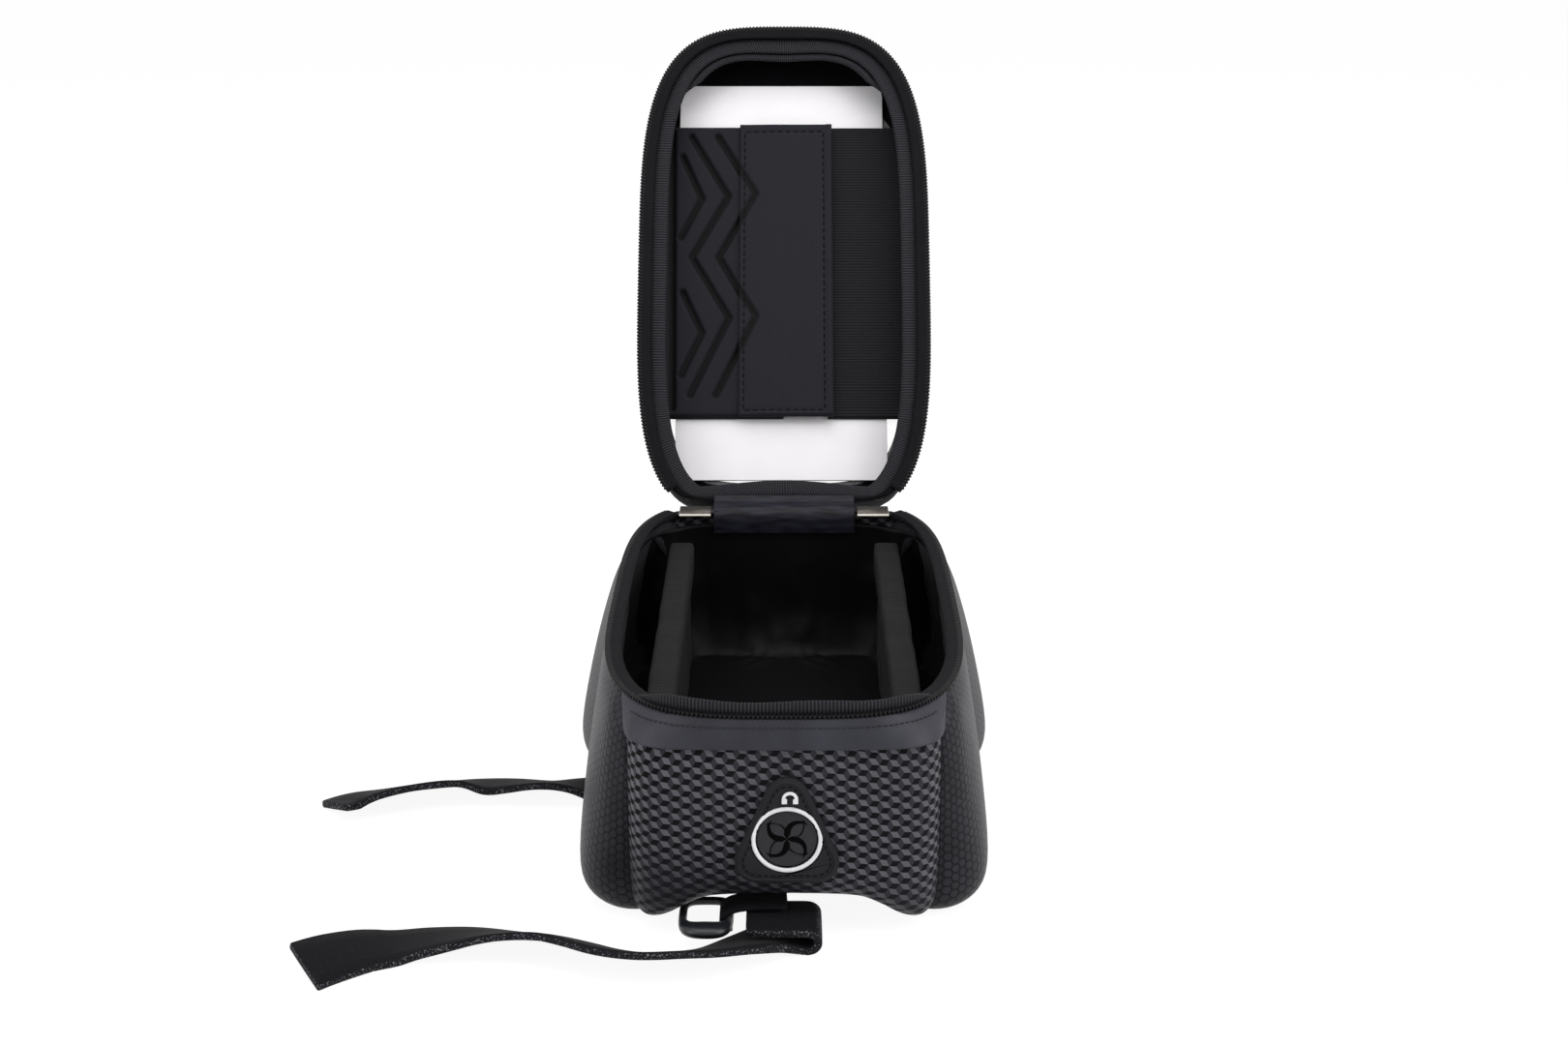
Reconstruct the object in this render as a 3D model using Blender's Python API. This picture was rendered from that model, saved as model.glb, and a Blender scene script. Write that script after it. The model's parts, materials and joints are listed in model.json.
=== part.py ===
"""Top tube phone bag: moulded body, hinged lid with a phone window, zip, straps and cable port.

Frame: +Z up, -Y towards the rider, +X to the rider's right. The origin is the middle of the
flat seat under the base, where the bag rests on the bicycle's top tube. Lengths are in metres.
The lid is modelled shut and then swung open about its hinge, as it rests.
"""
import math

import bmesh
import bpy
from mathutils import Vector

# Room between touching pieces, and how far a cutter runs past what it cuts
GAP = 0.0003
CUTTER_REACH = 0.002

# Driving sizes of the body
RIM_HEIGHT = 0.055
RIM_HALF_WIDTH = 0.0515
RIM_NEAR = 0.0923
RIM_FAR = 0.094
RIM_FAR_CROWN = 0.0065
NEAR_SQUARENESS = 3.5
FAR_SQUARENESS = 3.95
BODY_NEAR = 0.095
NEAR_PANEL_HALF_WIDTH = 0.0415
FAR_PANEL_HALF_WIDTH = 0.0400
NEAR_LOBE_HALF_WIDTH = 0.0600
FAR_LOBE_HALF_WIDTH = 0.0670
WAIST_HALF_WIDTH = 0.0570
WALL = 0.003
BOTTOM_ROUND = 0.010
FOOT_WIDTH = 0.005
SHOULDER_DROP = 0.010
SEAM_REACH = 0.016
SEAM_BLEND = 0.018
NEAR_CORNER_ROUND = 0.007
NEAR_SEAM_OUT = 0.0015
NEAR_SEAM_BACK = 0.011
FAR_CORNER_ROUND = 0.005
FAR_SEAM_OUT = 0.004
FAR_SEAM_BACK = 0.006
NEAR_LOBE_PEAK = -0.032
NEAR_LOBE_END = -0.012
FAR_LOBE_START = 0.010
FAR_LOBE_PEAK = 0.040
FAR_LOBE_END = 0.062
LOBE_ROUND = 0.003

# Driving sizes of the base and its seat
ARCH_DEPTH = 0.010
SEAT_HALF_WIDTH = 0.020
ARCH_HALF_WIDTH = 0.042
BASE_THICKNESS = 0.003
STRAP_PASS_DEPTH = 0.0031
STRAP_PASS_FLAT = 0.011
STRAP_PASS_HALF_LENGTH = 0.017

# Driving sizes of the inside
LINING = 0.001
LINING_CORNER_ROOM = 0.0024
BINDING_THICKNESS = 0.0012
BINDING_HEIGHT = 0.004
DIVIDER_PLACE = 0.035
DIVIDER_THICKNESS = 0.006
DIVIDER_DROP = 0.008
DIVIDER_NEAR_CLEARANCE = 0.0125
DIVIDER_FAR_CLEARANCE = 0.012
DIVIDER_BINDING_THICKNESS = 0.0008
DIVIDER_BINDING_HEIGHT = 0.009
DIVIDER_BINDING_ROUND = 0.0015

# Driving sizes of the rim, the zip and the hinge
RIM_SPACE = 0.0024
TAPE_THICKNESS = 0.0007
TAPE_REACH = 0.004
COIL_RADIUS = 0.0009
COIL_HALF_HEIGHT = 0.0005
ZIP_END_HALF_WIDTH = 0.040
BAND_DEPTH = 0.008
BAND_THICKNESS = 0.0008
HINGE_SETBACK = 0.001
HINGE_HALF_WIDTH = 0.0245
HINGE_FOLD_BULGE = 0.95
HINGE_FOLD_RISE = 0.75
LID_OPEN_ANGLE = 125.0
SLIDER_LENGTH = 0.011
SLIDER_REACH = 0.0085
SLIDER_SPACE = 0.00035
SLIDER_ROUND = 0.0007
SLIDER_PLACE = HINGE_HALF_WIDTH + 0.0008
LUG_THICKNESS = 0.0012
PULL_LENGTH = 0.016
PULL_WIDTH = 0.007
PULL_THICKNESS = 0.0012
PULL_CORNER = 0.002
LUG_DEPTH = 0.003

# Driving sizes of the lid
LID_DEPTH = 0.016
LID_WALL = 0.0022
LID_ROUND = 0.006
WINDOW_HALF_WIDTH = 0.043
WINDOW_NEAR = 0.068
WINDOW_FAR = 0.082
WINDOW_SQUARENESS = 5.0
FILM_THICKNESS = 0.0005
FILM_LAP = 0.0018
LID_BINDING_WIDTH = 0.0065
LID_BINDING_SETBACK = 0.001
CARD_LENGTH = 0.157
CARD_WIDTH = 0.076
CARD_THICKNESS = 0.0008
CARD_CORNER = 0.004
CARD_NEAR = 0.0755
CARD_OFFSET = -0.0010
PHONE_STRAP_NEAR = 0.0575
PHONE_STRAP_FAR = 0.0585
WING_THICKNESS = 0.0026
ELASTIC_THICKNESS = 0.0014
FLAP_THICKNESS = 0.0018
FLAP_LEFT = -0.0164
FLAP_RIGHT = 0.0178
WING_SPLIT = 0.0

# Driving sizes of the cable port
PORT_HEIGHT = 0.0215
PORT_OFFSET = 0.0008
PORT_HOLE_RADIUS = 0.0086
PORT_RING_RADIUS = 0.0097
PORT_RING_BAND = 0.0012
PATCH_HALF_WIDTH = 0.0142
PATCH_TOP = 0.0395
PATCH_BOTTOM = 0.0086
PATCH_CORNER = 0.006
PATCH_THICKNESS = 0.002
PORT_RING_PROUD = 0.0004
MEMBRANE_THICKNESS = 0.0014
SLIT_WIDTH = 0.0006
SLIT_COUNT = 4
SLIT_START = 0.16
SLIT_END = 0.86
SLIT_TURN = 0.9
SYMBOL_RADIUS = 0.0022
SYMBOL_BAND = 0.0009
SYMBOL_CUP_WIDTH = 0.0014
SYMBOL_CUP_HEIGHT = 0.0013
SYMBOL_OFFSET = 0.0008
SYMBOL_THICKNESS = 0.0003

# Driving sizes of the straps
STRAP_WIDTH = 0.018
STRAP_THICKNESS = 0.0022
STRAP_LEAVES_SEAT = 0.007
STRAP_FOLD_SHEAR = 0.1
STRAP_FOLD_PLACE = 0.007
STRAP_STATION = 0.002
FAR_STRAP_START = -0.0050
RING_LENGTH = 0.024
RING_WIDTH = 0.0155
RING_BAR = 0.0026
RING_FRONT_BAR = 0.0078
RING_FRONT_RISE = 0.0018
RING_LIFT = 0.0014
RING_NEAR_SQUARENESS = 3.0
RING_FAR_SQUARENESS = 6.0
RING_PLACE = (-0.0215, 0.003 - BODY_NEAR)
LOOP_WIDTH = 0.009
LOOP_THICKNESS = 0.0010
LOOP_TAIL = 0.016
LOOP_SETBACK = 0.0028

# Values worked out from the driving sizes
GROUND = -ARCH_DEPTH
HINGE_Y = RIM_FAR + HINGE_SETBACK
HINGE_Z = RIM_HEIGHT + RIM_SPACE / 2
LID_BASE = RIM_HEIGHT + RIM_SPACE
LID_TOP = LID_BASE + LID_DEPTH
FLOOR = BASE_THICKNESS + GAP
SPINE_HALF_LENGTH = 0.6 * RIM_NEAR
NEAR_SEAM_ANGLE = math.radians(31.3)
FAR_SEAM_ANGLE = math.radians(158.3)
PORT_CENTRE = Vector((PORT_OFFSET, -BODY_NEAR, PORT_HEIGHT))


def clear_scene():
    for item in list(bpy.data.objects):
        bpy.data.objects.remove(item, do_unlink=True)


def make_material(name, colour, roughness, metallic=0.0, alpha=1.0):
    material = bpy.data.materials.new(name)
    material.use_nodes = True
    shader = material.node_tree.nodes["Principled BSDF"]
    shader.inputs["Base Color"].default_value = (*colour, 1.0)
    shader.inputs["Roughness"].default_value = roughness
    shader.inputs["Metallic"].default_value = metallic
    shader.inputs["Alpha"].default_value = alpha
    return material


def add_object(name, bm, material, smooth=True):
    """Turn a bmesh into a named object with closed, outward faces."""
    bmesh.ops.remove_doubles(bm, verts=bm.verts, dist=0.000001)
    bmesh.ops.recalc_face_normals(bm, faces=bm.faces)
    mesh = bpy.data.meshes.new(name)
    bm.to_mesh(mesh)
    bm.free()
    if smooth:
        mesh.shade_smooth()
        mesh.set_sharp_from_angle(angle=math.radians(40))
    mesh.materials.append(material)
    item = bpy.data.objects.new(name, mesh)
    bpy.context.collection.objects.link(item)
    return item


def cut(item, cutter):
    modifier = item.modifiers.new("opening", "BOOLEAN")
    modifier.operation = "DIFFERENCE"
    modifier.object = cutter


def make_cutter(name, bm):
    bmesh.ops.recalc_face_normals(bm, faces=bm.faces)
    mesh = bpy.data.meshes.new(name)
    bm.to_mesh(mesh)
    bm.free()
    item = bpy.data.objects.new(name, mesh)
    item.hide_render = True
    item.display_type = "WIRE"
    bpy.context.collection.objects.link(item)
    return item


def smooth_step(value):
    value = min(max(value, 0.0), 1.0)
    return value * value * (3.0 - 2.0 * value)


def blend(first, second, share):
    return tuple(a + (b - a) * share for a, b in zip(first, second))


def superellipse(angle, half_width, near, far, near_power, far_power, cap=None):
    """Point at an angle counted from -Y towards +X; cap cuts the far end straight."""
    across = math.sin(angle)
    along = -math.cos(angle)
    reach, power = (near, near_power) if along < 0 else (far, far_power)
    radius = (abs(across / half_width) ** power + abs(along / reach) ** power) ** (-1.0 / power)
    y = radius * along
    return (radius * across, min(y, cap) if cap is not None else y)


def rim_point(angle):
    return superellipse(angle, RIM_HALF_WIDTH, RIM_NEAR, RIM_FAR + RIM_FAR_CROWN,
                        NEAR_SQUARENESS, FAR_SQUARENESS, RIM_FAR)


def spline(points, steps=12):
    """Smooth curve through a list of points, in any number of dimensions."""
    result = []
    last = len(points) - 1
    for index in range(last):
        before = points[max(index - 1, 0)]
        start = points[index]
        end = points[index + 1]
        after = points[min(index + 2, last)]
        for step in range(steps):
            t = step / steps
            result.append(tuple(
                0.5 * (2 * b + (c - a) * t + (2 * a - 5 * b + 4 * c - d) * t * t
                       + (3 * b - a - 3 * c + d) * t ** 3)
                for a, b, c, d in zip(before, start, end, after)))
    result.append(tuple(points[-1]))
    return result


def even_points(path, count):
    """Points at equal steps along a path; values past the third don't count as length."""
    lengths = [0.0]
    for first, second in zip(path, path[1:]):
        lengths.append(lengths[-1] + math.dist(first[:3], second[:3]))
    result = []
    index = 0
    for number in range(count):
        target = lengths[-1] * number / (count - 1)
        while index < len(path) - 2 and lengths[index + 1] < target:
            index += 1
        span = lengths[index + 1] - lengths[index]
        result.append(blend(path[index], path[index + 1], (target - lengths[index]) / span))
    return result


def rim_path(start, end, count):
    steps = 80
    dense = [rim_point(start + (end - start) * step / steps) for step in range(steps + 1)]
    return even_points(dense, count)


def near_panel_outline(count):
    """Right half of the near panel at its widest, from the middle to the side seam."""
    half = NEAR_PANEL_HALF_WIDTH
    points = [(0.0, -BODY_NEAR), (half / 2, -BODY_NEAR), (half - NEAR_CORNER_ROUND, -BODY_NEAR),
              (half, -BODY_NEAR + NEAR_SEAM_BACK / 2), near_seam()]
    return even_points(spline(points), count)


def near_seam():
    return (NEAR_PANEL_HALF_WIDTH + NEAR_SEAM_OUT, -BODY_NEAR + NEAR_SEAM_BACK)


def far_seam():
    return (FAR_PANEL_HALF_WIDTH + FAR_SEAM_OUT, RIM_FAR - FAR_SEAM_BACK)


def side_outline(count):
    """Right side at its widest: the near lobe, the waist where the strap passes, the far lobe."""
    seam_x, seam_y = near_seam()
    end_x, end_y = far_seam()
    near, far, waist = NEAR_LOBE_HALF_WIDTH, FAR_LOBE_HALF_WIDTH, WAIST_HALF_WIDTH
    points = [(seam_x, seam_y), ((seam_x + near) / 2 - LOBE_ROUND / 2, seam_y + LOBE_ROUND / 3),
              (near - LOBE_ROUND, seam_y + 2.7 * LOBE_ROUND), (near - LOBE_ROUND / 6, seam_y + 8 * LOBE_ROUND),
              (near, NEAR_LOBE_PEAK), (near - LOBE_ROUND / 3, NEAR_LOBE_END), (waist, 0.0),
              (far - 1.7 * LOBE_ROUND, FAR_LOBE_START),
              (far - LOBE_ROUND / 4, (FAR_LOBE_START + FAR_LOBE_PEAK) / 2), (far, FAR_LOBE_PEAK),
              (far - LOBE_ROUND, FAR_LOBE_END), (far - 3.7 * LOBE_ROUND, end_y - 2.7 * LOBE_ROUND),
              (end_x, end_y)]
    return even_points(spline(points), count)


def far_panel_outline(count):
    """Right half of the far panel, from the side seam to the middle."""
    half = FAR_PANEL_HALF_WIDTH
    points = [far_seam(), (half, RIM_FAR - FAR_SEAM_BACK / 3), (half - FAR_CORNER_ROUND, RIM_FAR),
              (half / 2, RIM_FAR), (0.0, RIM_FAR)]
    return even_points(spline(points), count)


def arch_height(x):
    """Underside of the body: a flat seat in the middle, falling to the ground at the sides."""
    share = (abs(x) - SEAT_HALF_WIDTH) / (ARCH_HALF_WIDTH - SEAT_HALF_WIDTH)
    return GROUND * (1.0 - math.cos(math.pi * min(max(share, 0.0), 1.0))) / 2.0


def underside(x, y):
    ramp = STRAP_PASS_HALF_LENGTH - STRAP_PASS_FLAT
    strap_pass = 1.0 - smooth_step((abs(y) - STRAP_PASS_FLAT) / ramp)
    return max(arch_height(x), GROUND + STRAP_PASS_DEPTH * strap_pass)


def inward(point):
    """Direction from a wall point to the body's lengthwise spine."""
    spine_y = min(max(point[1], -SPINE_HALF_LENGTH), SPINE_HALF_LENGTH)
    direction = Vector((-point[0], spine_y - point[1]))
    return direction.normalized()


class Column:
    """One upright line of the body's wall, from the rim down to the foot."""

    def __init__(self, top, low, shoulder):
        self.top = top
        self.low = low
        self.shoulder = shoulder
        self.bottom = underside(low[0], low[1])
        self.bend = self.bottom + BOTTOM_ROUND
        beside = (abs(low[0]), low[1])
        seam_distance = min(math.dist(beside, near_seam()), math.dist(beside, far_seam()))
        self.corner = 1.0 - smooth_step(seam_distance / SEAM_REACH)
        band = RIM_HEIGHT - BAND_DEPTH
        self.levels = [RIM_HEIGHT, RIM_HEIGHT - BINDING_HEIGHT, band, band + (self.bend - band) * 0.3,
                       band + (self.bend - band) * 0.65, self.bend]

    def bulge(self, z):
        """Share of the way from the rim's outline to the widest outline, at one of the levels."""
        panel_share = min(max((RIM_HEIGHT - z) / SHOULDER_DROP, 0.0), 1.0) ** 0.7
        lobe_share = min(max((RIM_HEIGHT - z) / (RIM_HEIGHT - self.bend), 0.0), 1.0) ** 0.6
        return lobe_share + (panel_share - lobe_share) * self.shoulder

    def plan_point(self, z):
        """Point of the outer face at a height, straight between the levels."""
        z = min(z, RIM_HEIGHT)
        for high, low in zip(self.levels, self.levels[1:]):
            if z >= low:
                share = (high - z) / (high - low)
                bulge = self.bulge(high) + (self.bulge(low) - self.bulge(high)) * share
                return blend(self.top, self.low, bulge)
        return self.low

    def at(self, z, inset):
        point = Vector(self.plan_point(z))
        point += inward(point) * inset
        return Vector((point.x, point.y, z))

    def profile(self, depth):
        """Heights and insets of the face that lies a depth inside the outer face."""
        pairs = [(z, depth) for z in self.levels]
        radius = BOTTOM_ROUND - depth
        for angle in (30, 60, 90):
            turn = math.radians(angle)
            pairs.append((self.bend - radius * math.sin(turn), BOTTOM_ROUND - radius * math.cos(turn)))
        pairs.append((self.bottom + depth, BOTTOM_ROUND + FOOT_WIDTH))
        return pairs

    def face(self, depth):
        """Points of the face that lies a depth inside; below the bend they follow the arch."""
        points = []
        for z, inset in self.profile(depth):
            point = self.at(z, inset)
            if z <= self.bend:
                point.z += underside(point.x, point.y) - self.bottom
            points.append(point)
        return points

    def lining_inset(self, z):
        """Distance from the outer face to the lining at a height; the floor has one for all columns."""
        height = z - GAP
        clear = 2 * GAP + LINING_CORNER_ROOM * self.corner
        pairs = [(point.z, inset) for point, (_, inset) in zip(self.face(WALL), self.profile(WALL))]
        for (high, start), (low, end) in zip(pairs, pairs[1:-1]):
            if z > FLOOR and height >= low:
                share = min(max((high - height) / max(high - low, GAP / 10), 0.0), 1.0)
                return start + (end - start) * share + clear
        return BOTTOM_ROUND + clear


def mirrored(columns):
    """Columns of the left side, in the same order as those of the right."""
    return [Column((-c.top[0], c.top[1]), (-c.low[0], c.low[1]), c.shoulder) for c in columns]


def near_columns(count=9):
    tops = rim_path(0.0, NEAR_SEAM_ANGLE, count)
    return [Column(t, low, 1.0) for t, low in zip(tops, near_panel_outline(count))]


def side_columns(count=27):
    tops = rim_path(NEAR_SEAM_ANGLE, FAR_SEAM_ANGLE, count)
    lows = side_outline(count)
    columns = []
    for top, low in zip(tops, lows):
        seam_distance = min(math.dist(low, near_seam()), math.dist(low, far_seam()))
        columns.append(Column(top, low, 1.0 - smooth_step(seam_distance / SEAM_BLEND)))
    return columns


def far_columns(count=8):
    tops = rim_path(FAR_SEAM_ANGLE, math.pi, count)
    return [Column(t, low, 1.0) for t, low in zip(tops, far_panel_outline(count))]


def all_columns():
    """Every column around the body, once, going from the near middle by the right."""
    right = near_columns() + side_columns()[1:] + far_columns()[1:]
    left = mirrored(right)[1:-1]
    return right + left[::-1]


def trim_end(columns, gap):
    """Draw both ends of a run of columns in, so that neighbours keep a gap."""
    first = Column(shorten(columns[0].top, columns[1].top, gap),
                   shorten(columns[0].low, columns[1].low, gap), columns[0].shoulder)
    last = Column(shorten(columns[-1].top, columns[-2].top, gap),
                  shorten(columns[-1].low, columns[-2].low, gap), columns[-1].shoulder)
    return [first] + columns[1:-1] + [last]


def shorten(point, neighbour, gap):
    return blend(point, neighbour, gap / math.dist(point, neighbour))


def solid_from_layers(outer, inner, closed):
    """Closed solid between two grids of points, each a list of equally long columns."""
    bm = bmesh.new()
    outer_verts = [[bm.verts.new(p) for p in column] for column in outer]
    inner_verts = [[bm.verts.new(p) for p in column] for column in inner]
    count = len(outer)
    rows = len(outer[0])
    for index in range(count if closed else count - 1):
        after = (index + 1) % count
        for row in range(rows - 1):
            bm.faces.new((outer_verts[index][row], outer_verts[after][row],
                          outer_verts[after][row + 1], outer_verts[index][row + 1]))
            bm.faces.new((inner_verts[index][row], inner_verts[index][row + 1],
                          inner_verts[after][row + 1], inner_verts[after][row]))
        for row in (0, rows - 1):
            bm.faces.new((outer_verts[index][row], inner_verts[index][row],
                          inner_verts[after][row], outer_verts[after][row]))
    if not closed:
        for index in (0, count - 1):
            for row in range(rows - 1):
                bm.faces.new((outer_verts[index][row], outer_verts[index][row + 1],
                              inner_verts[index][row + 1], inner_verts[index][row]))
    bmesh.ops.triangulate(bm, faces=bm.faces)
    return bm


def plate_from_outline(outline, low, high):
    """Flat plate with an outline of (x, y) points."""
    bm = bmesh.new()
    bottom = [bm.verts.new((x, y, low)) for x, y in outline]
    top = [bm.verts.new((x, y, high)) for x, y in outline]
    bm.faces.new(bottom)
    bm.faces.new(top)
    for index in range(len(outline)):
        after = (index + 1) % len(outline)
        bm.faces.new((bottom[index], bottom[after], top[after], top[index]))
    return bm


def box(low, high):
    outline = [(low[0], low[1]), (high[0], low[1]), (high[0], high[1]), (low[0], high[1])]
    return plate_from_outline(outline, low[2], high[2])


def build_wall_panel(name, columns, material):
    columns = trim_end(columns, 0.7 * GAP)
    bm = solid_from_layers([c.face(0.0) for c in columns], [c.face(WALL) for c in columns], False)
    return add_object(name, bm, material)


def build_base_panel(material):
    """Foam base set inside the feet of the four walls: arched below, flat on top under the lining."""
    bm = bmesh.new()
    reach = BOTTOM_ROUND + FOOT_WIDTH + GAP
    outline = [c.at(c.bottom, reach) for c in all_columns()]
    bm.faces.new([bm.verts.new((p.x, p.y, 0.0)) for p in outline])
    strips = 12
    for step in range(-strips + 1, strips):
        place = (ARCH_HALF_WIDTH * step / strips, 0.0, 0.0)
        geometry = bm.verts[:] + bm.edges[:] + bm.faces[:]
        bmesh.ops.bisect_plane(bm, geom=geometry, dist=0.0000001, plane_co=place, plane_no=(1, 0, 0))
    middle = (STRAP_PASS_FLAT + STRAP_PASS_HALF_LENGTH) / 2
    for y in (STRAP_PASS_FLAT, middle, STRAP_PASS_HALF_LENGTH):
        for place in ((0.0, y, 0.0), (0.0, -y, 0.0)):
            geometry = bm.verts[:] + bm.edges[:] + bm.faces[:]
            bmesh.ops.bisect_plane(bm, geom=geometry, dist=0.0000001, plane_co=place, plane_no=(0, 1, 0))
    bmesh.ops.triangulate(bm, faces=bm.faces)
    bottom = list(bm.verts)
    extruded = bmesh.ops.extrude_face_region(bm, geom=bm.faces[:])
    for vert in bottom:
        vert.co.z = underside(vert.co.x, vert.co.y)
    for vert in (v for v in extruded["geom"] if isinstance(v, bmesh.types.BMVert)):
        vert.co.z = BASE_THICKNESS
    return add_object("base_panel", bm, material)


def build_rim_band(material):
    """Smooth trapezoid over the top of the near panel."""
    right = near_columns()
    columns = mirrored(right)[:0:-1] + right
    columns = trim_end(columns, GAP)
    levels = (RIM_HEIGHT, RIM_HEIGHT - BINDING_HEIGHT, RIM_HEIGHT - BAND_DEPTH)
    outer = [[c.at(z, -GAP - BAND_THICKNESS) for z in levels] for c in columns]
    inner = [[c.at(z, -GAP) for z in levels] for c in columns]
    return add_object("near_rim_band", solid_from_layers(outer, inner, False), material)


def build_lining(material):
    """Thin inner tub: straight walls that follow the shell, and a flat floor."""
    top = RIM_HEIGHT - BINDING_HEIGHT - GAP
    levels = [top + (FLOOR - top) * share for share in (0.0, 0.1, 0.4, 0.75, 0.9, 1.0)]
    columns = all_columns()
    outer = [[c.at(z, c.lining_inset(z)) for z in levels] for c in columns]
    inner = [[c.at(z, c.lining_inset(z - LINING) + LINING)
              for z in levels[:-2] + [FLOOR + LINING]] for c in columns]
    bm = bmesh.new()
    outer_verts = [[bm.verts.new(p) for p in column] for column in outer]
    inner_verts = [[bm.verts.new(p) for p in column] for column in inner]
    count = len(columns)
    for index in range(count):
        after = (index + 1) % count
        for row in range(len(levels) - 1):
            bm.faces.new((outer_verts[index][row], outer_verts[after][row],
                          outer_verts[after][row + 1], outer_verts[index][row + 1]))
        for row in range(len(levels) - 2):
            bm.faces.new((inner_verts[index][row], inner_verts[index][row + 1],
                          inner_verts[after][row + 1], inner_verts[after][row]))
        bm.faces.new((outer_verts[index][0], inner_verts[index][0],
                      inner_verts[after][0], outer_verts[after][0]))
    bm.faces.new([column[-1] for column in outer_verts])
    bm.faces.new([column[-1] for column in inner_verts])
    bmesh.ops.triangulate(bm, faces=bm.faces)
    return add_object("lining", bm, material)


def build_rim_binding(material):
    """Ribbed tape that closes the lining's top edge, just inside the rim."""
    reach = WALL + GAP
    columns = all_columns()
    levels = (RIM_HEIGHT - GAP, RIM_HEIGHT - BINDING_HEIGHT)
    outer = [[c.at(z, reach) for z in levels] for c in columns]
    inner = [[c.at(z, reach + BINDING_THICKNESS) for z in levels] for c in columns]
    return add_object("rim_binding", solid_from_layers(outer, inner, True), material)


def divider_ends():
    """Near and far limits of the space that a padded divider fills."""
    lining_inside = WALL + GAP + LINING
    return -RIM_NEAR + lining_inside + DIVIDER_NEAR_CLEARANCE, RIM_FAR - lining_inside - DIVIDER_FAR_CLEARANCE


def build_divider(side, name, material):
    near, far = divider_ends()
    half = DIVIDER_THICKNESS / 2
    low = FLOOR + LINING + GAP
    high = RIM_HEIGHT - DIVIDER_DROP
    edge = DIVIDER_BINDING_ROUND
    section = [(-half, low), (half, low), (half, high - edge), (half - edge, high), (-half + edge, high),
               (-half, high - edge)]
    bm = extrude_section([(side * DIVIDER_PLACE + x, z) for x, z in section], near, far)
    return add_object(name, bm, material)


def build_divider_binding(side, name, material):
    """Tape folded over a divider's top edge, like an upturned channel."""
    near, far = divider_ends()
    inside = DIVIDER_THICKNESS / 2 + GAP
    outside = inside + DIVIDER_BINDING_THICKNESS
    top_inside = RIM_HEIGHT - DIVIDER_DROP + GAP
    top_outside = top_inside + DIVIDER_BINDING_THICKNESS
    bottom = top_outside - DIVIDER_BINDING_HEIGHT
    edge = DIVIDER_BINDING_ROUND
    section = [(-outside, bottom), (-outside, top_outside - edge), (-outside + edge, top_outside),
               (outside - edge, top_outside), (outside, top_outside - edge), (outside, bottom),
               (inside, bottom), (inside, top_inside - edge), (inside - edge, top_inside),
               (-inside + edge, top_inside), (-inside, top_inside - edge), (-inside, bottom)]
    bm = extrude_section([(side * DIVIDER_PLACE + x, z) for x, z in section], near, far)
    return add_object(name, bm, material)


def extrude_section(section, near, far):
    """Solid with one (x, z) section all along Y."""
    bm = bmesh.new()
    first = [bm.verts.new((x, near, z)) for x, z in section]
    second = [bm.verts.new((x, far, z)) for x, z in section]
    bm.faces.new(first)
    bm.faces.new(second)
    for index in range(len(section)):
        after = (index + 1) % len(section)
        bm.faces.new((first[index], first[after], second[after], second[index]))
    return bm


def zip_columns():
    """Rim outline that the zip follows, from the far left corner by the near end to the right."""
    end = math.pi / 2
    while rim_point(end)[0] > ZIP_END_HALF_WIDTH:
        end += 0.002
    right = rim_path(0.0, end, 25)
    left = [(-x, y) for x, y in right[:0:-1]]
    return left + right


def ring_point(point, inset, z):
    place = Vector(point) + inward(point) * inset
    return Vector((place.x, place.y, z))


def build_zip_tape(name, low, material):
    path = zip_columns()
    high = low + TAPE_THICKNESS
    levels = (high, low)
    outer = [[ring_point(p, -BAND_THICKNESS - GAP, z) for z in levels] for p in path]
    inner = [[ring_point(p, TAPE_REACH, z) for z in levels] for p in path]
    return add_object(name, solid_from_layers(outer, inner, False), material, smooth=False)


def build_zip_coil(name, height, material):
    """One half of the coil, a cord that runs just outside the rim."""
    reach = BAND_THICKNESS + 2 * GAP + COIL_RADIUS
    sides = 5
    bm = bmesh.new()
    rings = []
    for point in zip_columns():
        ring = []
        for step in range(sides):
            turn = 2 * math.pi * step / sides
            place = ring_point(point, -reach - COIL_RADIUS * math.cos(turn),
                               height + COIL_HALF_HEIGHT * math.sin(turn))
            ring.append(bm.verts.new(place))
        rings.append(ring)
    for first, second in zip(rings, rings[1:]):
        for step in range(sides):
            after = (step + 1) % sides
            bm.faces.new((first[step], first[after], second[after], second[step]))
    bm.faces.new(rings[0])
    bm.faces.new(rings[-1])
    return add_object(name, bm, material)


def build_hinge_fabric(material):
    """Folded strip between the far wall's top and the lid's edge."""
    bulge = HINGE_FOLD_BULGE * RIM_SPACE / 2
    rise = HINGE_FOLD_RISE * RIM_SPACE / 2
    section = [(RIM_FAR - 0.77 * WALL, RIM_HEIGHT + GAP)]
    for angle in range(160, -61, -20):
        turn = math.radians(angle)
        section.append((HINGE_Y + bulge * math.cos(turn), HINGE_Z + rise * math.sin(turn)))
    section.append((RIM_FAR - GAP, RIM_HEIGHT + GAP))
    return add_object("hinge_fabric", prism_along_x(section, -HINGE_HALF_WIDTH, HINGE_HALF_WIDTH), material)


def prism_along_x(section, start, end):
    """Solid with one (y, z) section all along X."""
    bm = bmesh.new()
    first = [bm.verts.new((start, y, z)) for y, z in section]
    second = [bm.verts.new((end, y, z)) for y, z in section]
    bm.faces.new(first)
    bm.faces.new(second)
    for index in range(len(section)):
        after = (index + 1) % len(section)
        bm.faces.new((first[index], first[after], second[after], second[index]))
    bmesh.ops.triangulate(bm, faces=bm.faces)
    return bm


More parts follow.
